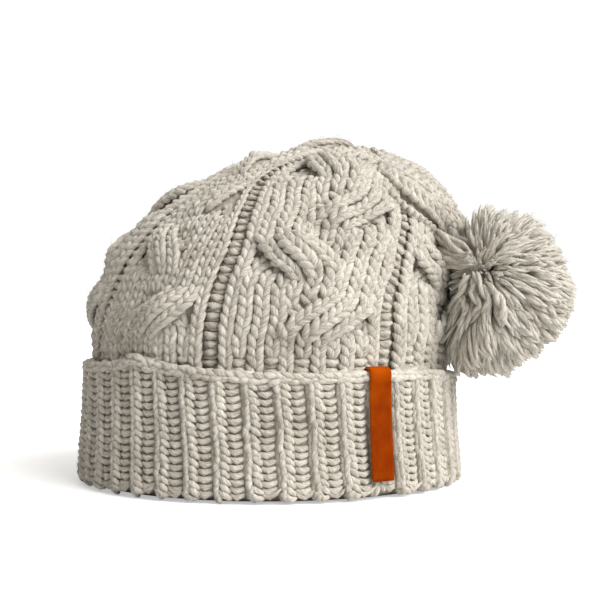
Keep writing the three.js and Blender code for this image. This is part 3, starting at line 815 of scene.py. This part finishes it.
def room_to(points, tree):
    """How far points are from a solid, less than nothing inside it."""
    room = np.full(len(points), 99.0)
    for i, point in enumerate(points):
        place = in_metres(point)
        near, normal, _, distance = tree.find_nearest(place, 40 * MM)
        if near is not None:
            room[i] = math.copysign(distance, (place - near).dot(normal)) / MM
    return room


def clear_of(points, tree, room):
    """Points moved out of a solid so that they stay clear of it."""
    moved = points.copy()
    for i, point in enumerate(points):
        place = in_metres(point)
        near, normal, _, distance = tree.find_nearest(place)
        if (place - near).dot(normal) < room * MM and distance < 30 * MM:
            target = near + normal * (room * MM)
            moved[i] = ((target.x - AXIS_X) / MM, target.y / MM, target.z / MM)
    return moved


# The pompom's yarn, how far it keeps from the crown and the cuff, and how strands that don't are shortened:
# in how many tries, by how much each, and down to which share of their length
POMPOM_STRANDS = 3700
POMPOM_LOCKS = 620
POMPOM_HUB = (104.5, -55.0, 117.8)
STRAND_RINGS = 5
STRAND_ROOM = 2.0
FIT_TRIES = 9
FIT_STEP = 0.06
SHORTEST_FIT = 0.5
HEART_SHARE = 0.7
HEART_ROOM = 1.5

# A dark hollow in the pompom's front, beside the crown
HOLLOW = (92.5, -40.0, 106.0)
HOLLOW_RADIUS = 7.0

# Reach of the pompom's strands by direction in the hat's front view, as shares of its half sizes
POMPOM_REACH = table(
    ("angle", "reach"),
    (-180, 1.0),
    (-160, 1.12),
    (-145, 1.3),
    (-130, 1.28),
    (-119, 1.13),
    (-94, 1.0),
    (-72, 0.87),
    (-54, 0.85),
    (-22, 0.93),
    (0, 0.93),
    (37, 0.83),
    (70, 0.91),
    (87, 0.9),
    (100, 0.96),
    (114, 1.07),
    (129, 1.05),
    (180, 1.0),
)


def pompom_form(direction):
    """How far the pompom reaches in each direction from its middle, in shares of its half sizes."""
    angle = np.degrees(np.arctan2(direction[..., 2], direction[..., 0]))
    facing = np.hypot(direction[..., 0], direction[..., 2])
    return 1 + (between(POMPOM_REACH, "angle", "reach", angle) - 1) * facing


def pompom_front(x, z, proud):
    """A point on the pompom's front, proud millimetres off it."""
    flat = ((x - pompom_middle[0]) / POMPOM_HALF[0]) ** 2 + ((z - pompom_middle[2]) / POMPOM_HALF[2]) ** 2
    depth = POMPOM_HALF[1] * math.sqrt(max(0.05, 1 - flat))
    return np.array([x, pompom_middle[1] - depth - proud, z])


def pompom_parts():
    """Strands that fan out from the tied hub over a heart darkened as painted shade, gathered in pointed
    locks.
    """
    count = POMPOM_STRANDS
    locks = POMPOM_LOCKS
    hub = unit((np.array(POMPOM_HUB) - pompom_middle) / POMPOM_HALF)
    first = unit(np.cross(hub, (0, 0, 1)))
    second = np.cross(hub, first)
    share = np.linspace(0, 1, STRAND_RINGS)

    def directions(polar, turn):
        return around(polar, hub, around(turn, first, second))

    def spiral(number, shake):
        index = np.arange(number) + 0.5
        polar = np.arccos(np.clip(1 - 1.98 * index / number, -1, 1)) + rng.normal(0, shake, number)
        return polar, index * np.pi * (3 - math.sqrt(5)) + rng.normal(0, shake, number)

    polar, turn = spiral(count, 0.05)
    tips = directions(*spiral(locks, 0.08))
    end = directions(polar, turn)
    home = np.argmax(end @ tips.T, axis=1)
    low = smoothstep(-end[:, 2], -0.3, 0.4)
    pull = rng.uniform(0.1, 0.35, count) + low * rng.uniform(0.0, 0.35, count)
    end = unit(end * (1 - pull[:, None]) + tips[home] * pull[:, None])
    lift = rng.uniform(0.16, 0.42, count)
    back = rng.uniform(0.22, 0.5, count) * np.clip(0.4 + polar / 1.4, 0.4, 1.0)
    start = directions(polar - back, turn + rng.normal(0, 0.06, count))
    bend = unit(start + end + rng.normal(0, 0.035, (count, 3)))
    direction = unit(arc(start[:, None], bend[:, None], end[:, None], share[:, None]))
    lengths = rng.uniform(0.88, 1.04, locks)[home] * rng.uniform(0.93, 1.02, count)
    radius = lengths[:, None] - lift[:, None] * (1 - share[None]) ** 1.4
    reach = (radius * pompom_form(direction))[..., None] * POMPOM_HALF * direction
    fit = np.ones(count)
    for tree in (tree_of("crown"), tree_of("cuff")):
        for _ in range(FIT_TRIES):
            tips = pompom_middle + reach[:, -2:] * fit[:, None, None]
            blocked = room_to(tips.reshape(-1, 3), tree).reshape(count, 2).min(1) < STRAND_ROOM
            fit = np.where(blocked, fit - FIT_STEP, fit)
    centre = pompom_middle + reach * fit[:, None, None]
    hollow = np.hypot(centre[..., 0] - HOLLOW[0], centre[..., 2] - HOLLOW[2]) < HOLLOW_RADIUS
    in_hollow = (hollow & (centre[..., 1] < HOLLOW[1])).any(1)
    keep = (fit > SHORTEST_FIT) & ~in_hollow
    centre, home, low, count = centre[keep], home[keep], low[keep], int(keep.sum())
    swell = np.interp(share, (0, 0.3, 0.6, 0.85, 1), (0.55, 1.0, 0.95, 0.6, 0.1))
    thick = (rng.uniform(0.8, 1.45, count) + 0.35 * low)[:, None] * swell[None]
    out = unit((centre[:, STRAND_RINGS // 2] - pompom_middle) / POMPOM_HALF**2)
    tint = np.clip(rng.normal(0.75, 0.08, locks)[home] + rng.normal(0, 0.1, count), 0, 1.2)
    # Painted shade: strands are darkened towards their roots, deep inside the pompom
    sunk = np.interp(share, (0, 0.4, 1), (0.4, 0.05, 0.0))[None] * np.ones((count, 1))
    parts = [tubes(centre, out, thick, 0.8 * thick, 5, tint, sunk)]
    u = np.linspace(0.02, np.pi - 0.02, 20)[:, None]
    v = np.linspace(0, 2 * np.pi, 33)[None, :-1]
    ball = np.stack([np.sin(u) * np.cos(v), np.sin(u) * np.sin(v), np.cos(u) + 0 * v], -1)
    heart = pompom_middle + ball * (HEART_SHARE * pompom_form(ball))[..., None] * POMPOM_HALF
    heart = clear_of(heart.reshape(-1, 3), tree_of("crown"), HEART_ROOM).reshape(heart.shape)
    # The heart is a sheet darkened by a low tone and strong painted shade, standing in for the shade deep
    # inside the pompom
    parts.append(sheet_of(heart, True, 0.4, 0.9, flip=True))
    return parts


# Share of the way up the crown that its straight part ends below
STRAIGHT_PART = 0.4


def crown_reach(azimuth, height):
    """Reach of the crown's form at a height on its straight part inside the cuff."""
    low = np.zeros(np.broadcast(azimuth, height).shape)
    high = low + STRAIGHT_PART
    for _ in range(24):
        middle = (low + high) / 2
        below = crown_point(azimuth, middle)[..., 2] < height
        low = np.where(below, middle, low)
        high = np.where(below, high, middle)
    point = crown_point(azimuth, low)
    return np.hypot(point[..., 0], point[..., 1])


def cuff_edge_height(azimuth):
    """Height of the cuff's free edge at an azimuth."""
    degrees = np.degrees(np.arctan2(np.sin(azimuth), np.cos(azimuth)))
    return CUFF_HEIGHT * between(CUFF_EDGE, "azimuth", "height", degrees)


# The cuff's profile over the rim from inside, down the face and under the fold: its height as a share of the
# edge's height, and how much of the cuff's thickness it stands out
CUFF_PROFILE = table(
    ("along", "height", "share"),
    (0.0, 0.95, 0.12),
    (0.05, 1.0, 0.5),
    (0.1, 0.955, 0.88),
    (0.2, 0.85, 1.0),
    (0.5, 0.5, 1.0),
    (0.8, 0.15, 1.0),
    (0.87, 0.07, 0.97),
    (0.93, 0.03, 0.72),
    (1.0, 0.02, 0.0),
)

# How much the ribs lean, and how deep their stitches and their cloth lie, deeper under the leather tab
RIB_LEAN = 0.04
STITCH_DEPTH = 1.35
UNDER_TAB_DEPTH = 1.3
CUFF_CLOTH_DEPTH = 3.1


def cuff_point(azimuth, along, sink):
    """Points on the cuff's outer face, sink millimetres into it, on the way from its rim to its fold."""
    azimuth, along = np.broadcast_arrays(azimuth, along)
    share = between(CUFF_PROFILE, "along", "share", along)
    edge = cuff_edge_height(azimuth)
    height = edge * between(CUFF_PROFILE, "along", "height", along)
    lean = RIB_LEAN * (0.65 + 0.35 * np.cos(azimuth + math.radians(115)))
    turned = azimuth + np.radians(lean * (CUFF_HEIGHT / 2 - height))
    reach = crown_reach(azimuth, np.maximum(height, CROWN_BASE)) + SEAM_GAP
    taper = CUFF_FLARE * np.clip(1 - height / edge, 0, 1) ** 1.5
    reach = reach + CUFF_THICKNESS * share + taper
    rise, run = (between(CUFF_PROFILE, "along", name, np.clip(along + 0.01, 0, 1))
                 - between(CUFF_PROFILE, "along", name, np.clip(along - 0.01, 0, 1))
                 for name in ("height", "share"))
    flat = unit(np.stack([-rise * edge, run * CUFF_THICKNESS], -1))
    reach = reach - flat[..., 0] * sink
    return np.stack([reach * np.cos(turned), reach * np.sin(turned), height - flat[..., 1] * sink], -1)


def cuff_parts():
    """Ribs of knit and purl stitches, upside down because the cuff is turned up."""
    rib = 360 / RIB_COUNT
    tab = math.radians(TAB_AZIMUTH)
    ribs = []
    for index in range(RIB_COUNT):
        middle = math.radians(RIB_START + rib * index)
        bend = rng.uniform(0, 6.28)
        from_tab = (math.degrees(middle - tab) + 180) % 360 - 180
        sink = STITCH_DEPTH + UNDER_TAB_DEPTH * math.exp(-from_tab**2 / 18)

        def face(along, across, middle=middle, bend=bend, sink=sink):
            sway = math.radians(0.2) * np.sin(8 * along + bend)
            azimuth = middle + sway - across * math.radians(rib)
            return cuff_point(azimuth, along, sink)

        ribs.append(frames_along(face, 0.075, 0.97, CUFF_PITCH))
    places = joined(ribs)
    thick = np.ones(len(places["width"]))
    # Painted shade: the grains on each ridge's slope down into the valley are darkened
    sunk = dict(places, sunk=0.35 * thick)
    ridge = grains(places, RIB_RIDGE, 1.7 * thick, 1.55 * thick, sides=7, taper=0.6, wobble=0.04)
    slope = grains(sunk, RIB_SLOPE, 1.75 * thick, 1.4 * thick, sides=5, taper=0.7, wobble=0.03)
    rope = grains(places, RIB_ROPE, 1.78 * thick, 1.55 * thick, sides=7, taper=0.45, wobble=0.045)
    bumps = grains(places, RIB_BUMP, 1.75 * thick, 1.45 * thick, sides=7, taper=0.15, blunt=0.75)
    return [ridge, slope, rope, bumps]


# The edge's rows of grains: how far inside the face and under the rim each lies, its lean and its radius
EDGE_GRAINS = 132
EDGE_ROWS = ((0.1, 3.9, 0.7, 1.75), (0.4, 1.5, -0.8, 1.75), (2.5, 1.3, 0.9, 1.7), (4.2, 3.0, -1.0, 1.5))


def cuff_edge_parts():
    """The rolled cast-on edge that runs round the cuff's rim, as rows of short leaning grains."""
    count = EDGE_GRAINS
    parts = []
    for row, (inside, drop, lean, radius) in enumerate(EDGE_ROWS):
        azimuth = 2 * np.pi * (np.arange(count) + 0.5 * row + rng.uniform(-0.14, 0.14, count)) / count
        share = 2 * GRAIN_SHARES - 1
        step = 2 * np.pi / count * 0.8
        turn = azimuth[:, None] + step * share[None]
        edge = cuff_edge_height(turn)
        reach = crown_reach(turn, edge) + SEAM_GAP + CUFF_THICKNESS - 1.8 - inside
        arch = 1 - share[None] ** 2
        lean = lean * rng.uniform(-0.3, 1.9, (count, 1))
        height = edge - drop + lean * share[None] + rng.normal(0, 0.35, (count, 1))
        reach = reach + 1.0 * arch - 0.45 * np.abs(lean) + rng.normal(0, 0.2, (count, 1))
        centre = np.stack([reach * np.cos(turn), reach * np.sin(turn), height], -1)
        out = np.stack([np.cos(azimuth), np.sin(azimuth), 0.3 + 0 * azimuth], -1)
        swell = 0.4 + 0.6 * np.sin(np.pi * GRAIN_SHARES) ** 0.6
        size = radius * rng.normal(1, 0.12, (count, 1)) * swell[None]
        parts.append(tubes(centre, out, size, size, 8, np.clip(rng.normal(0.6, 0.1, count), 0, 1), 0.0))
    return parts


def cuff_backing():
    """The cuff's cloth behind its stitches: one closed band with its fold, darkened as painted shade."""
    azimuth = np.linspace(0, 2 * np.pi, 161)[:-1]
    rows = [cuff_point(azimuth, along, CUFF_CLOTH_DEPTH) for along in np.linspace(0.03, 0.99, 30)]
    low = crown_reach(azimuth, CROWN_BASE)

    def ring(reach, height):
        return np.stack([reach * np.cos(azimuth), reach * np.sin(azimuth), height + 0 * azimuth], -1)

    inside = low - CROWN_WALL
    for reach, height in (
        (inside + 0.3 * FOLD_THICKNESS, 0.6),
        (inside + 0.6, 0.25 * FOLD_THICKNESS),
        (inside + 0.4, 0.6 * FOLD_THICKNESS),
        (inside + 0.4, FOLD_THICKNESS - 0.2),
        (low + SEAM_GAP, FOLD_THICKNESS - 0.2),
    ):
        rows.append(ring(reach, height))
    edge = cuff_edge_height(azimuth)
    for share in (0.3, 0.6, 0.9, 0.95):
        height = share * edge
        rows.append(ring(crown_reach(azimuth, height) + SEAM_GAP + 0.2, height))
    rows.append(rows[0])
    # A lower tone and painted shade darken the cloth that shows between the stitches
    return sheet_of(np.array(rows), True, 0.45, 0.6, flip=True)


# The tab's hem, and the radii of its bends over the cuff's edge
TAB_HEM = 7.0
OUTER_BEND = 2.6
INNER_BEND = 1.9


def tab_spine(azimuth):
    """The tab's middle line as (reach, height), from its lower end up and over the cuff's edge."""
    at = np.array([azimuth])
    top = float(cuff_edge_height(at)[0])

    def face(height):
        taper = CUFF_FLARE * max(0.0, 1 - height / top) ** 1.5
        reach = crown_reach(at, np.array([max(height, CROWN_BASE)]))[0]
        return float(reach) + SEAM_GAP + CUFF_THICKNESS + taper

    off = SEAM_GAP + TAB_THICKNESS / 2
    inside = float(crown_reach(at, np.array([top]))[0]) + 0.1 + off
    outer = face(top) + off
    level = top + off
    spine = []
    for share in np.linspace(0.0, 0.93, 26):
        height = top - TAB_LENGTH + share * TAB_LENGTH
        spine.append((face(height) + off, height))
    for angle in np.linspace(0.15, 1, 7) * math.pi / 2:
        turn = np.array([math.cos(angle), math.sin(angle)])
        spine.append((outer, level) - OUTER_BEND * (1 - turn))
    for angle in np.linspace(0, 1, 7) * math.pi / 2:
        spine.append((inside + INNER_BEND * (1 - math.sin(angle)),
                      level - INNER_BEND * (1 - math.cos(angle))))
    for height in np.linspace(level - 3.0, top - TAB_TUCK, 5):
        spine.append((inside, height))
    return np.array(spine)


def leather_tab_parts():
    """The bare leather tab, a strip folded over the cuff's edge, and the stitches of its hem."""
    azimuth = math.radians(TAB_AZIMUTH)
    half = TAB_THICKNESS / 2
    hem = TAB_HEM
    spine = tab_spine(azimuth)
    tangent = unit(np.gradient(spine, axis=0))
    normal = np.stack([tangent[:, 1], -tangent[:, 0]], -1)
    length = np.concatenate([[0], np.cumsum(np.linalg.norm(np.diff(spine, axis=0), axis=-1))])
    across = np.linspace(-1, 1, 15)
    out = np.array([math.cos(azimuth), math.sin(azimuth), 0])
    side = np.array([-math.sin(azimuth), math.cos(azimuth), 0])
    up = np.array([0, 0, 1.0])
    seam = np.exp(-((length - hem) / 0.5) ** 2) * 0.28
    swell = np.where(length < hem, 0.16 * np.sin(np.pi * np.clip(length / hem, 0, 1)), 0)
    spread = TAB_WIDTH / 2 * (0.97 + 0.05 * np.interp(length, (0, hem, TAB_LENGTH), (0.4, 1.2, 0.2)))
    rows = []
    for i in range(len(spine)):
        ring = []
        for step, level_side in ((1, 1), (-1, -1)):
            for place in across[::step]:
                edge = math.sqrt(max(0.0, 1 - abs(place) ** 9))
                depth = half * (0.25 + 0.75 * edge) * level_side
                if level_side > 0:
                    depth += swell[i] - seam[i] * edge
                reach, height = spine[i] + normal[i] * depth
                ring.append(out * reach + up * height + side * place * spread[i])
        rows.append(ring)
    rows = np.array(rows)
    ends = [np.repeat(rows[:1].mean(1, keepdims=True), rows.shape[1], 1),
            np.repeat(rows[-1:].mean(1, keepdims=True), rows.shape[1], 1)]
    small = [ends[0] + (rows[:1] - ends[0]) * 0.9, ends[1] + (rows[-1:] - ends[1]) * 0.9]
    body = np.concatenate([ends[0], small[0], rows, small[1], ends[1]])
    # Lighter along the rims as worn edges, and lightest over the bend across the cuff's edge: a painted
    # highlight where the fold faces the light
    rim = np.abs(np.concatenate([across, across[::-1]])) ** 8
    bend = np.interp(length, (TAB_LENGTH - 6, TAB_LENGTH - 2, TAB_LENGTH + 4, TAB_LENGTH + 8), (0, 1, 1, 0))
    wear_and_highlight = np.maximum(0.7 * rim[None], np.concatenate([[0.7, 0.7], bend, [0.7, 0.7]])[:, None])
    strip = sheet_of(body, True, wear_and_highlight.reshape(-1), 0.0, flip=True)
    stitches = []
    i = int(np.argmin(abs(length - hem)))
    for place in np.linspace(-0.78, 0.78, 5):
        reach, height = spine[i] + normal[i] * (half + 0.02)
        middle = out * reach + up * height + side * place * spread[i]
        t = np.linspace(-1, 1, 5)[:, None]
        stitches.append(middle + side * t * 0.95 + out * (0.12 - 0.3 * t**2))
    stitches = np.array(stitches)
    thick = np.full((len(stitches), 5), 0.3) * np.array([0.5, 1, 1, 1, 0.5])
    thread = tubes(stitches, np.repeat(out[None], len(stitches), 0), thick, thick, 6, 0.5, 0.0)
    return strip, thread


# How many loose fibres there are and how long the longest is
CROWN_FUZZ = (3000, 5.0)
CUFF_FUZZ = (1800, 4.0)
POMPOM_FUZZ = (1500, 7.0)


def fuzz_over(stitches, count, longest):
    """Fine loose fibres that leave the upper sides of stitches, arch over them and come back."""
    spots, outs, tangents = [], [], []
    for part in stitches:
        points = part["points"].reshape(part["grid"] + (3,))
        rings, sides = part["grid"][1:]
        middle = points.mean(2)
        for ring in range(1, rings - 1):
            for side in range(1, sides // 2):
                spots.append(points[:, ring, side])
                outs.append(points[:, ring, side] - middle[:, ring])
                tangents.append(middle[:, ring + 1] - middle[:, ring - 1])
    spots = np.concatenate(spots)
    pick = rng.integers(0, len(spots), count)
    out = unit(unit(np.concatenate(outs)[pick]) + rng.normal(0, 0.35, (count, 3)))
    run = unit(unit(np.concatenate(tangents)[pick]) + rng.normal(0, 0.8, (count, 3)))
    run = unit(run - 0.8 * dot(run, out) * out)
    length = rng.uniform(0.35, 1.0, (count, 1, 1)) ** 1.5 * longest
    t = np.array([0.0, 0.5, 1.0])[None, :, None]
    arch = rng.uniform(0.1, 0.5, (count, 1, 1)) * length
    tail = rng.uniform(-0.2, 0.9, (count, 1, 1))
    rise = arch * (np.sin(np.pi * t * 0.8) + tail * t * t) - 0.25
    path = spots[pick][:, None] + run[:, None] * length * (t - 0.3) + out[:, None] * rise
    path = path + rng.normal(0, 0.12, path.shape) * length * 0.5
    thick = rng.uniform(0.06, 0.1, (count, 1)) * np.array([1.0, 0.9, 0.3])
    return tubes(path, out, thick, thick, 3, rng.uniform(0.55, 1.0, count), 0.0)


def node(tree, kind, values=None, links=None, **settings):
    """A shader node with its settings, its sockets' values and the outputs that feed them."""
    made = tree.nodes.new(kind)
    for key, value in settings.items():
        setattr(made, key, value)
    for key, value in (values or {}).items():
        made.inputs[key].default_value = value
    for key, source in (links or {}).items():
        tree.links.new(source, made.inputs[key])
    return made


def noise(tree, vector, scale, detail, roughness=0.5):
    values = {"Scale": scale, "Detail": detail, "Roughness": roughness}
    return node(tree, "ShaderNodeTexNoise", values, {"Vector": vector}).outputs["Fac"]


def multiply_add(tree, value, factor, add):
    """value * factor + add, where add is a number or an output."""
    made = node(tree, "ShaderNodeMath", {1: factor}, {0: value}, operation="MULTIPLY_ADD")
    if isinstance(add, float):
        made.inputs[2].default_value = add
    else:
        tree.links.new(add, made.inputs[2])
    return made.outputs[0]


def ramp(tree, share, *ends):
    """A colour ramp between two ends, each a place and a colour."""
    made = node(tree, "ShaderNodeValToRGB", links={"Fac": share})
    for element, (place, colour) in zip(made.color_ramp.elements, ends):
        element.position = place
        element.color = colour + (1,)
    return made.outputs["Color"]


def add_bump(tree, shader, height, strength, distance):
    made = node(tree, "ShaderNodeBump", {"Strength": strength, "Distance": distance}, {"Height": height})
    tree.links.new(made.outputs["Normal"], shader.inputs["Normal"])


def new_material(name, values):
    material = bpy.data.materials.new(name)
    material.use_nodes = True
    shader = material.node_tree.nodes["Principled BSDF"]
    for key, value in values.items():
        shader.inputs[key].default_value = value
    return material, material.node_tree, shader


YARN_DARK = (0.34, 0.31, 0.26)
YARN_LIGHT = (0.68, 0.645, 0.575)
# Warm dark colour that is multiplied in as painted shade
YARN_PAINTED_SHADE = (0.55, 0.49, 0.4, 1)
LEATHER_DARK = (0.16, 0.017, 0.0)
# Lightest leather colour, for worn rims and a painted highlight on the bend
LEATHER_WORN_AND_LIT = (0.37, 0.062, 0.0)


def yarn_material():
    """Soft oatmeal wool: fibres along the yarn, lighter and darker grains, and painted shade: a warm
    darkening in the gaps and on the cloth behind the stitches.
    """
    material, tree, shader = new_material("yarn", {
        "Roughness": 0.92,
        "Sheen Weight": 0.35,
        "Sheen Roughness": 0.5,
        "Sheen Tint": (0.95, 0.92, 0.86, 1),
        "Specular IOR Level": 0.12,
        "Subsurface Weight": 0.3,
        "Subsurface Radius": (1.0, 0.85, 0.7),
        "Subsurface Scale": 0.0016,
    })
    tint = node(tree, "ShaderNodeAttribute", attribute_name="tint").outputs["Fac"]
    sunk = node(tree, "ShaderNodeAttribute", attribute_name="sunk").outputs["Fac"]
    place = node(tree, "ShaderNodeTexCoord").outputs["Object"]
    uv = node(tree, "ShaderNodeUVMap", uv_map="yarn").outputs["UV"]
    stretched = node(tree, "ShaderNodeMapping", {"Scale": (0.16, 7.0, 1)}, {"Vector": uv}).outputs["Vector"]
    patches = noise(tree, place, 55, 3)
    fibres = noise(tree, stretched, 1.6, 5, 0.7)
    fine_fuzz = noise(tree, place, 1500, 2)
    shade = multiply_add(tree, fibres, 2.4, -1.25)
    shade = multiply_add(tree, patches, 0.6, shade)
    shade = multiply_add(tree, tint, 0.5, shade)
    colour = ramp(tree, shade, (0.2, YARN_DARK), (0.8, YARN_LIGHT))
    # Painted shade: the colour is multiplied towards the warm dark by each point's amount of painted shade
    shaded_colour = node(tree, "ShaderNodeMix", {"B": YARN_PAINTED_SHADE}, {"Factor": sunk, "A": colour},
                data_type="RGBA", blend_type="MULTIPLY")
    tree.links.new(shaded_colour.outputs["Result"], shader.inputs["Base Color"])
    add_bump(tree, shader, multiply_add(tree, fine_fuzz, 0.4, fibres), 0.5, 0.0009)
    return material


def leather_material():
    """Orange-brown leather: fine grain, mottled colour, lighter along its worn rims, and a painted highlight
    where it bends over the cuff's edge.
    """
    material, tree, shader = new_material("leather", {"Roughness": 0.62, "Specular IOR Level": 0.02})
    place = node(tree, "ShaderNodeTexCoord").outputs["Object"]
    mottle = noise(tree, place, 70, 6)
    wear_and_highlight = node(tree, "ShaderNodeAttribute", attribute_name="tint").outputs["Fac"]
    shade = multiply_add(tree, wear_and_highlight, 0.4, mottle)
    colour = ramp(tree, shade, (0.35, LEATHER_DARK), (1.0, LEATHER_WORN_AND_LIT))
    tree.links.new(colour, shader.inputs["Base Color"])
    pores = node(tree, "ShaderNodeTexVoronoi", {"Scale": 1800}, {"Vector": place})
    add_bump(tree, shader, pores.outputs["Distance"], 0.25, 0.0003)
    return material


# The floor's half width and its glow for the camera alone, the world's strength at its left and right,
# and the suns: where each shines from, its spread in degrees and its power
FLOOR_REACH = 12
FLOOR_GLOW = 0.46
WORLD_LEFT = 0.02
WORLD_RIGHT = 0.56
SUNS = {
    "key": ((0.95, -0.85, 0.9), 50, 3.3),
    "top": ((0.3, -0.3, 1.0), 80, 0.95),
}


def add_floor():
    """A pale floor that looks white to the camera and lights nothing by its glow."""
    mesh = bpy.data.meshes.new("floor")
    corners = [(x * FLOOR_REACH, y * FLOOR_REACH, 0) for x, y in ((-1, -1), (1, -1), (1, 1), (-1, 1))]
    mesh.from_pydata(corners, [], [(0, 1, 2, 3)])
    floor = bpy.data.objects.new("floor", mesh)
    bpy.context.scene.collection.objects.link(floor)
    material, tree, shader = new_material("floor", {
        "Base Color": (0.85, 0.85, 0.85, 1),
        "Roughness": 0.8,
        "Specular IOR Level": 0.1,
        "Emission Color": (1, 1, 1, 1),
    })
    seen = node(tree, "ShaderNodeLightPath").outputs["Is Camera Ray"]
    glow = node(tree, "ShaderNodeMath", {1: FLOOR_GLOW}, {0: seen}, operation="MULTIPLY")
    tree.links.new(glow.outputs[0], shader.inputs["Emission Strength"])
    mesh.materials.append(material)


def add_light():
    """A world that is brighter and whiter towards the right and white to the camera, and two soft suns."""
    world = bpy.data.worlds.new("studio")
    world.use_nodes = True
    tree = world.node_tree
    place = node(tree, "ShaderNodeTexCoord").outputs["Generated"]
    axes = node(tree, "ShaderNodeSeparateXYZ", links={"Vector": place})
    side = node(tree, "ShaderNodeMapRange", {"From Min": -1, "To Min": WORLD_LEFT, "To Max": WORLD_RIGHT},
                {"Value": axes.outputs["X"]}).outputs["Result"]
    warmth = node(tree, "ShaderNodeMix", {"A": (1.0, 0.87, 0.7, 1), "B": (1.0, 1.0, 1.0, 1)},
                  {"Factor": side}, data_type="RGBA")
    sky = tree.nodes["Background"]
    tree.links.new(warmth.outputs["Result"], sky.inputs["Color"])
    tree.links.new(side, sky.inputs["Strength"])
    seen = node(tree, "ShaderNodeBackground", {"Color": (1, 1, 1, 1)})
    mix = node(tree, "ShaderNodeMixShader", links={
        "Fac": node(tree, "ShaderNodeLightPath").outputs["Is Camera Ray"],
        1: sky.outputs["Background"],
        2: seen.outputs["Background"],
    })
    tree.links.new(mix.outputs["Shader"], tree.nodes["World Output"].inputs["Surface"])
    bpy.context.scene.world = world
    bpy.context.scene.view_settings.view_transform = "Standard"
    for name, (direction, spread, power) in SUNS.items():
        data = bpy.data.lights.new(name, "SUN")
        data.angle = math.radians(spread)
        data.energy = power
        lamp = bpy.data.objects.new(name, data)
        lamp.rotation_euler = (-Vector(direction)).to_track_quat("-Z", "Y").to_euler()
        bpy.context.scene.collection.objects.link(lamp)


# The camera's lens in millimetres, its place and the point that it looks at
LENS = 85.5
SENSOR_WIDTH = 36
EYE = Vector((AXIS_X + 0.020, -0.800, 0.105))
TARGET = Vector((AXIS_X + 0.020, 0, 0.0945))


def add_camera():
    """The photograph's view: level with the middle of the hat, a little to the right of its axis."""
    data = bpy.data.cameras.new("camera")
    data.lens = LENS
    data.sensor_width = SENSOR_WIDTH
    eye = bpy.data.objects.new("camera", data)
    eye.location = EYE
    eye.rotation_euler = (TARGET - EYE).to_track_quat("-Z", "Y").to_euler()
    bpy.context.scene.collection.objects.link(eye)
    bpy.context.scene.camera = eye


add_camera()
add_floor()
add_light()
MATERIALS = {"yarn": yarn_material(), "leather": leather_material()}

# Which panels each of the crown's pieces has, and the sides of their knit stitches' yarn
CROWN_PIECES = {
    "crown_knit_front": ((0, 1), 8),
    "crown_knit_back": ((2, 3), 7),
    "crown_knit_side": ((4, 5), 7),
}
panels = crown_places()
crown_stitches = []
for name, (chosen, sides) in CROWN_PIECES.items():
    stitches = []
    for panel in chosen:
        knits, purls = panels[panel]
        stitches += knit(knits, sides) + purl(purls)
    make_piece(name, stitches, "yarn", "crown")
    crown_stitches += stitches
make_piece("crown_cloth", [crown_backing()], "yarn", "crown")
pleat = pleat_parts()
make_piece("crown_pleat", pleat, "yarn", "crown")
make_piece("crown_neck", neck_parts(), "yarn", "crown")
make_piece("crown_fuzz", [fuzz_over(crown_stitches + pleat[:-1], *CROWN_FUZZ)], "yarn", "crown")
cuff = cuff_parts()
make_piece("cuff_knit", cuff, "yarn", "cuff")
cuff_edge = cuff_edge_parts()
make_piece("cuff_edge", cuff_edge, "yarn", "cuff")
make_piece("cuff_cloth", [cuff_backing()], "yarn", "cuff")
make_piece("cuff_fuzz", [fuzz_over(cuff[:1] + cuff[2:] + cuff_edge, *CUFF_FUZZ)], "yarn", "cuff")
tufts = pompom_parts()
make_piece("pompom_tufts", tufts, "yarn", "pompom")
make_piece("pompom_fuzz", [fuzz_over(tufts[:1], *POMPOM_FUZZ)], "yarn", "pompom")
make_piece("pompom_tie_yarn", tie_parts(), "yarn", "pompom_tie")
make_piece("pompom_collar", collar_parts(), "yarn", "pompom_tie")
strip, thread = leather_tab_parts()
make_piece("leather_tab_strip", [strip], "leather", "leather_tab")
make_piece("leather_tab_stitches", [thread], "leather")
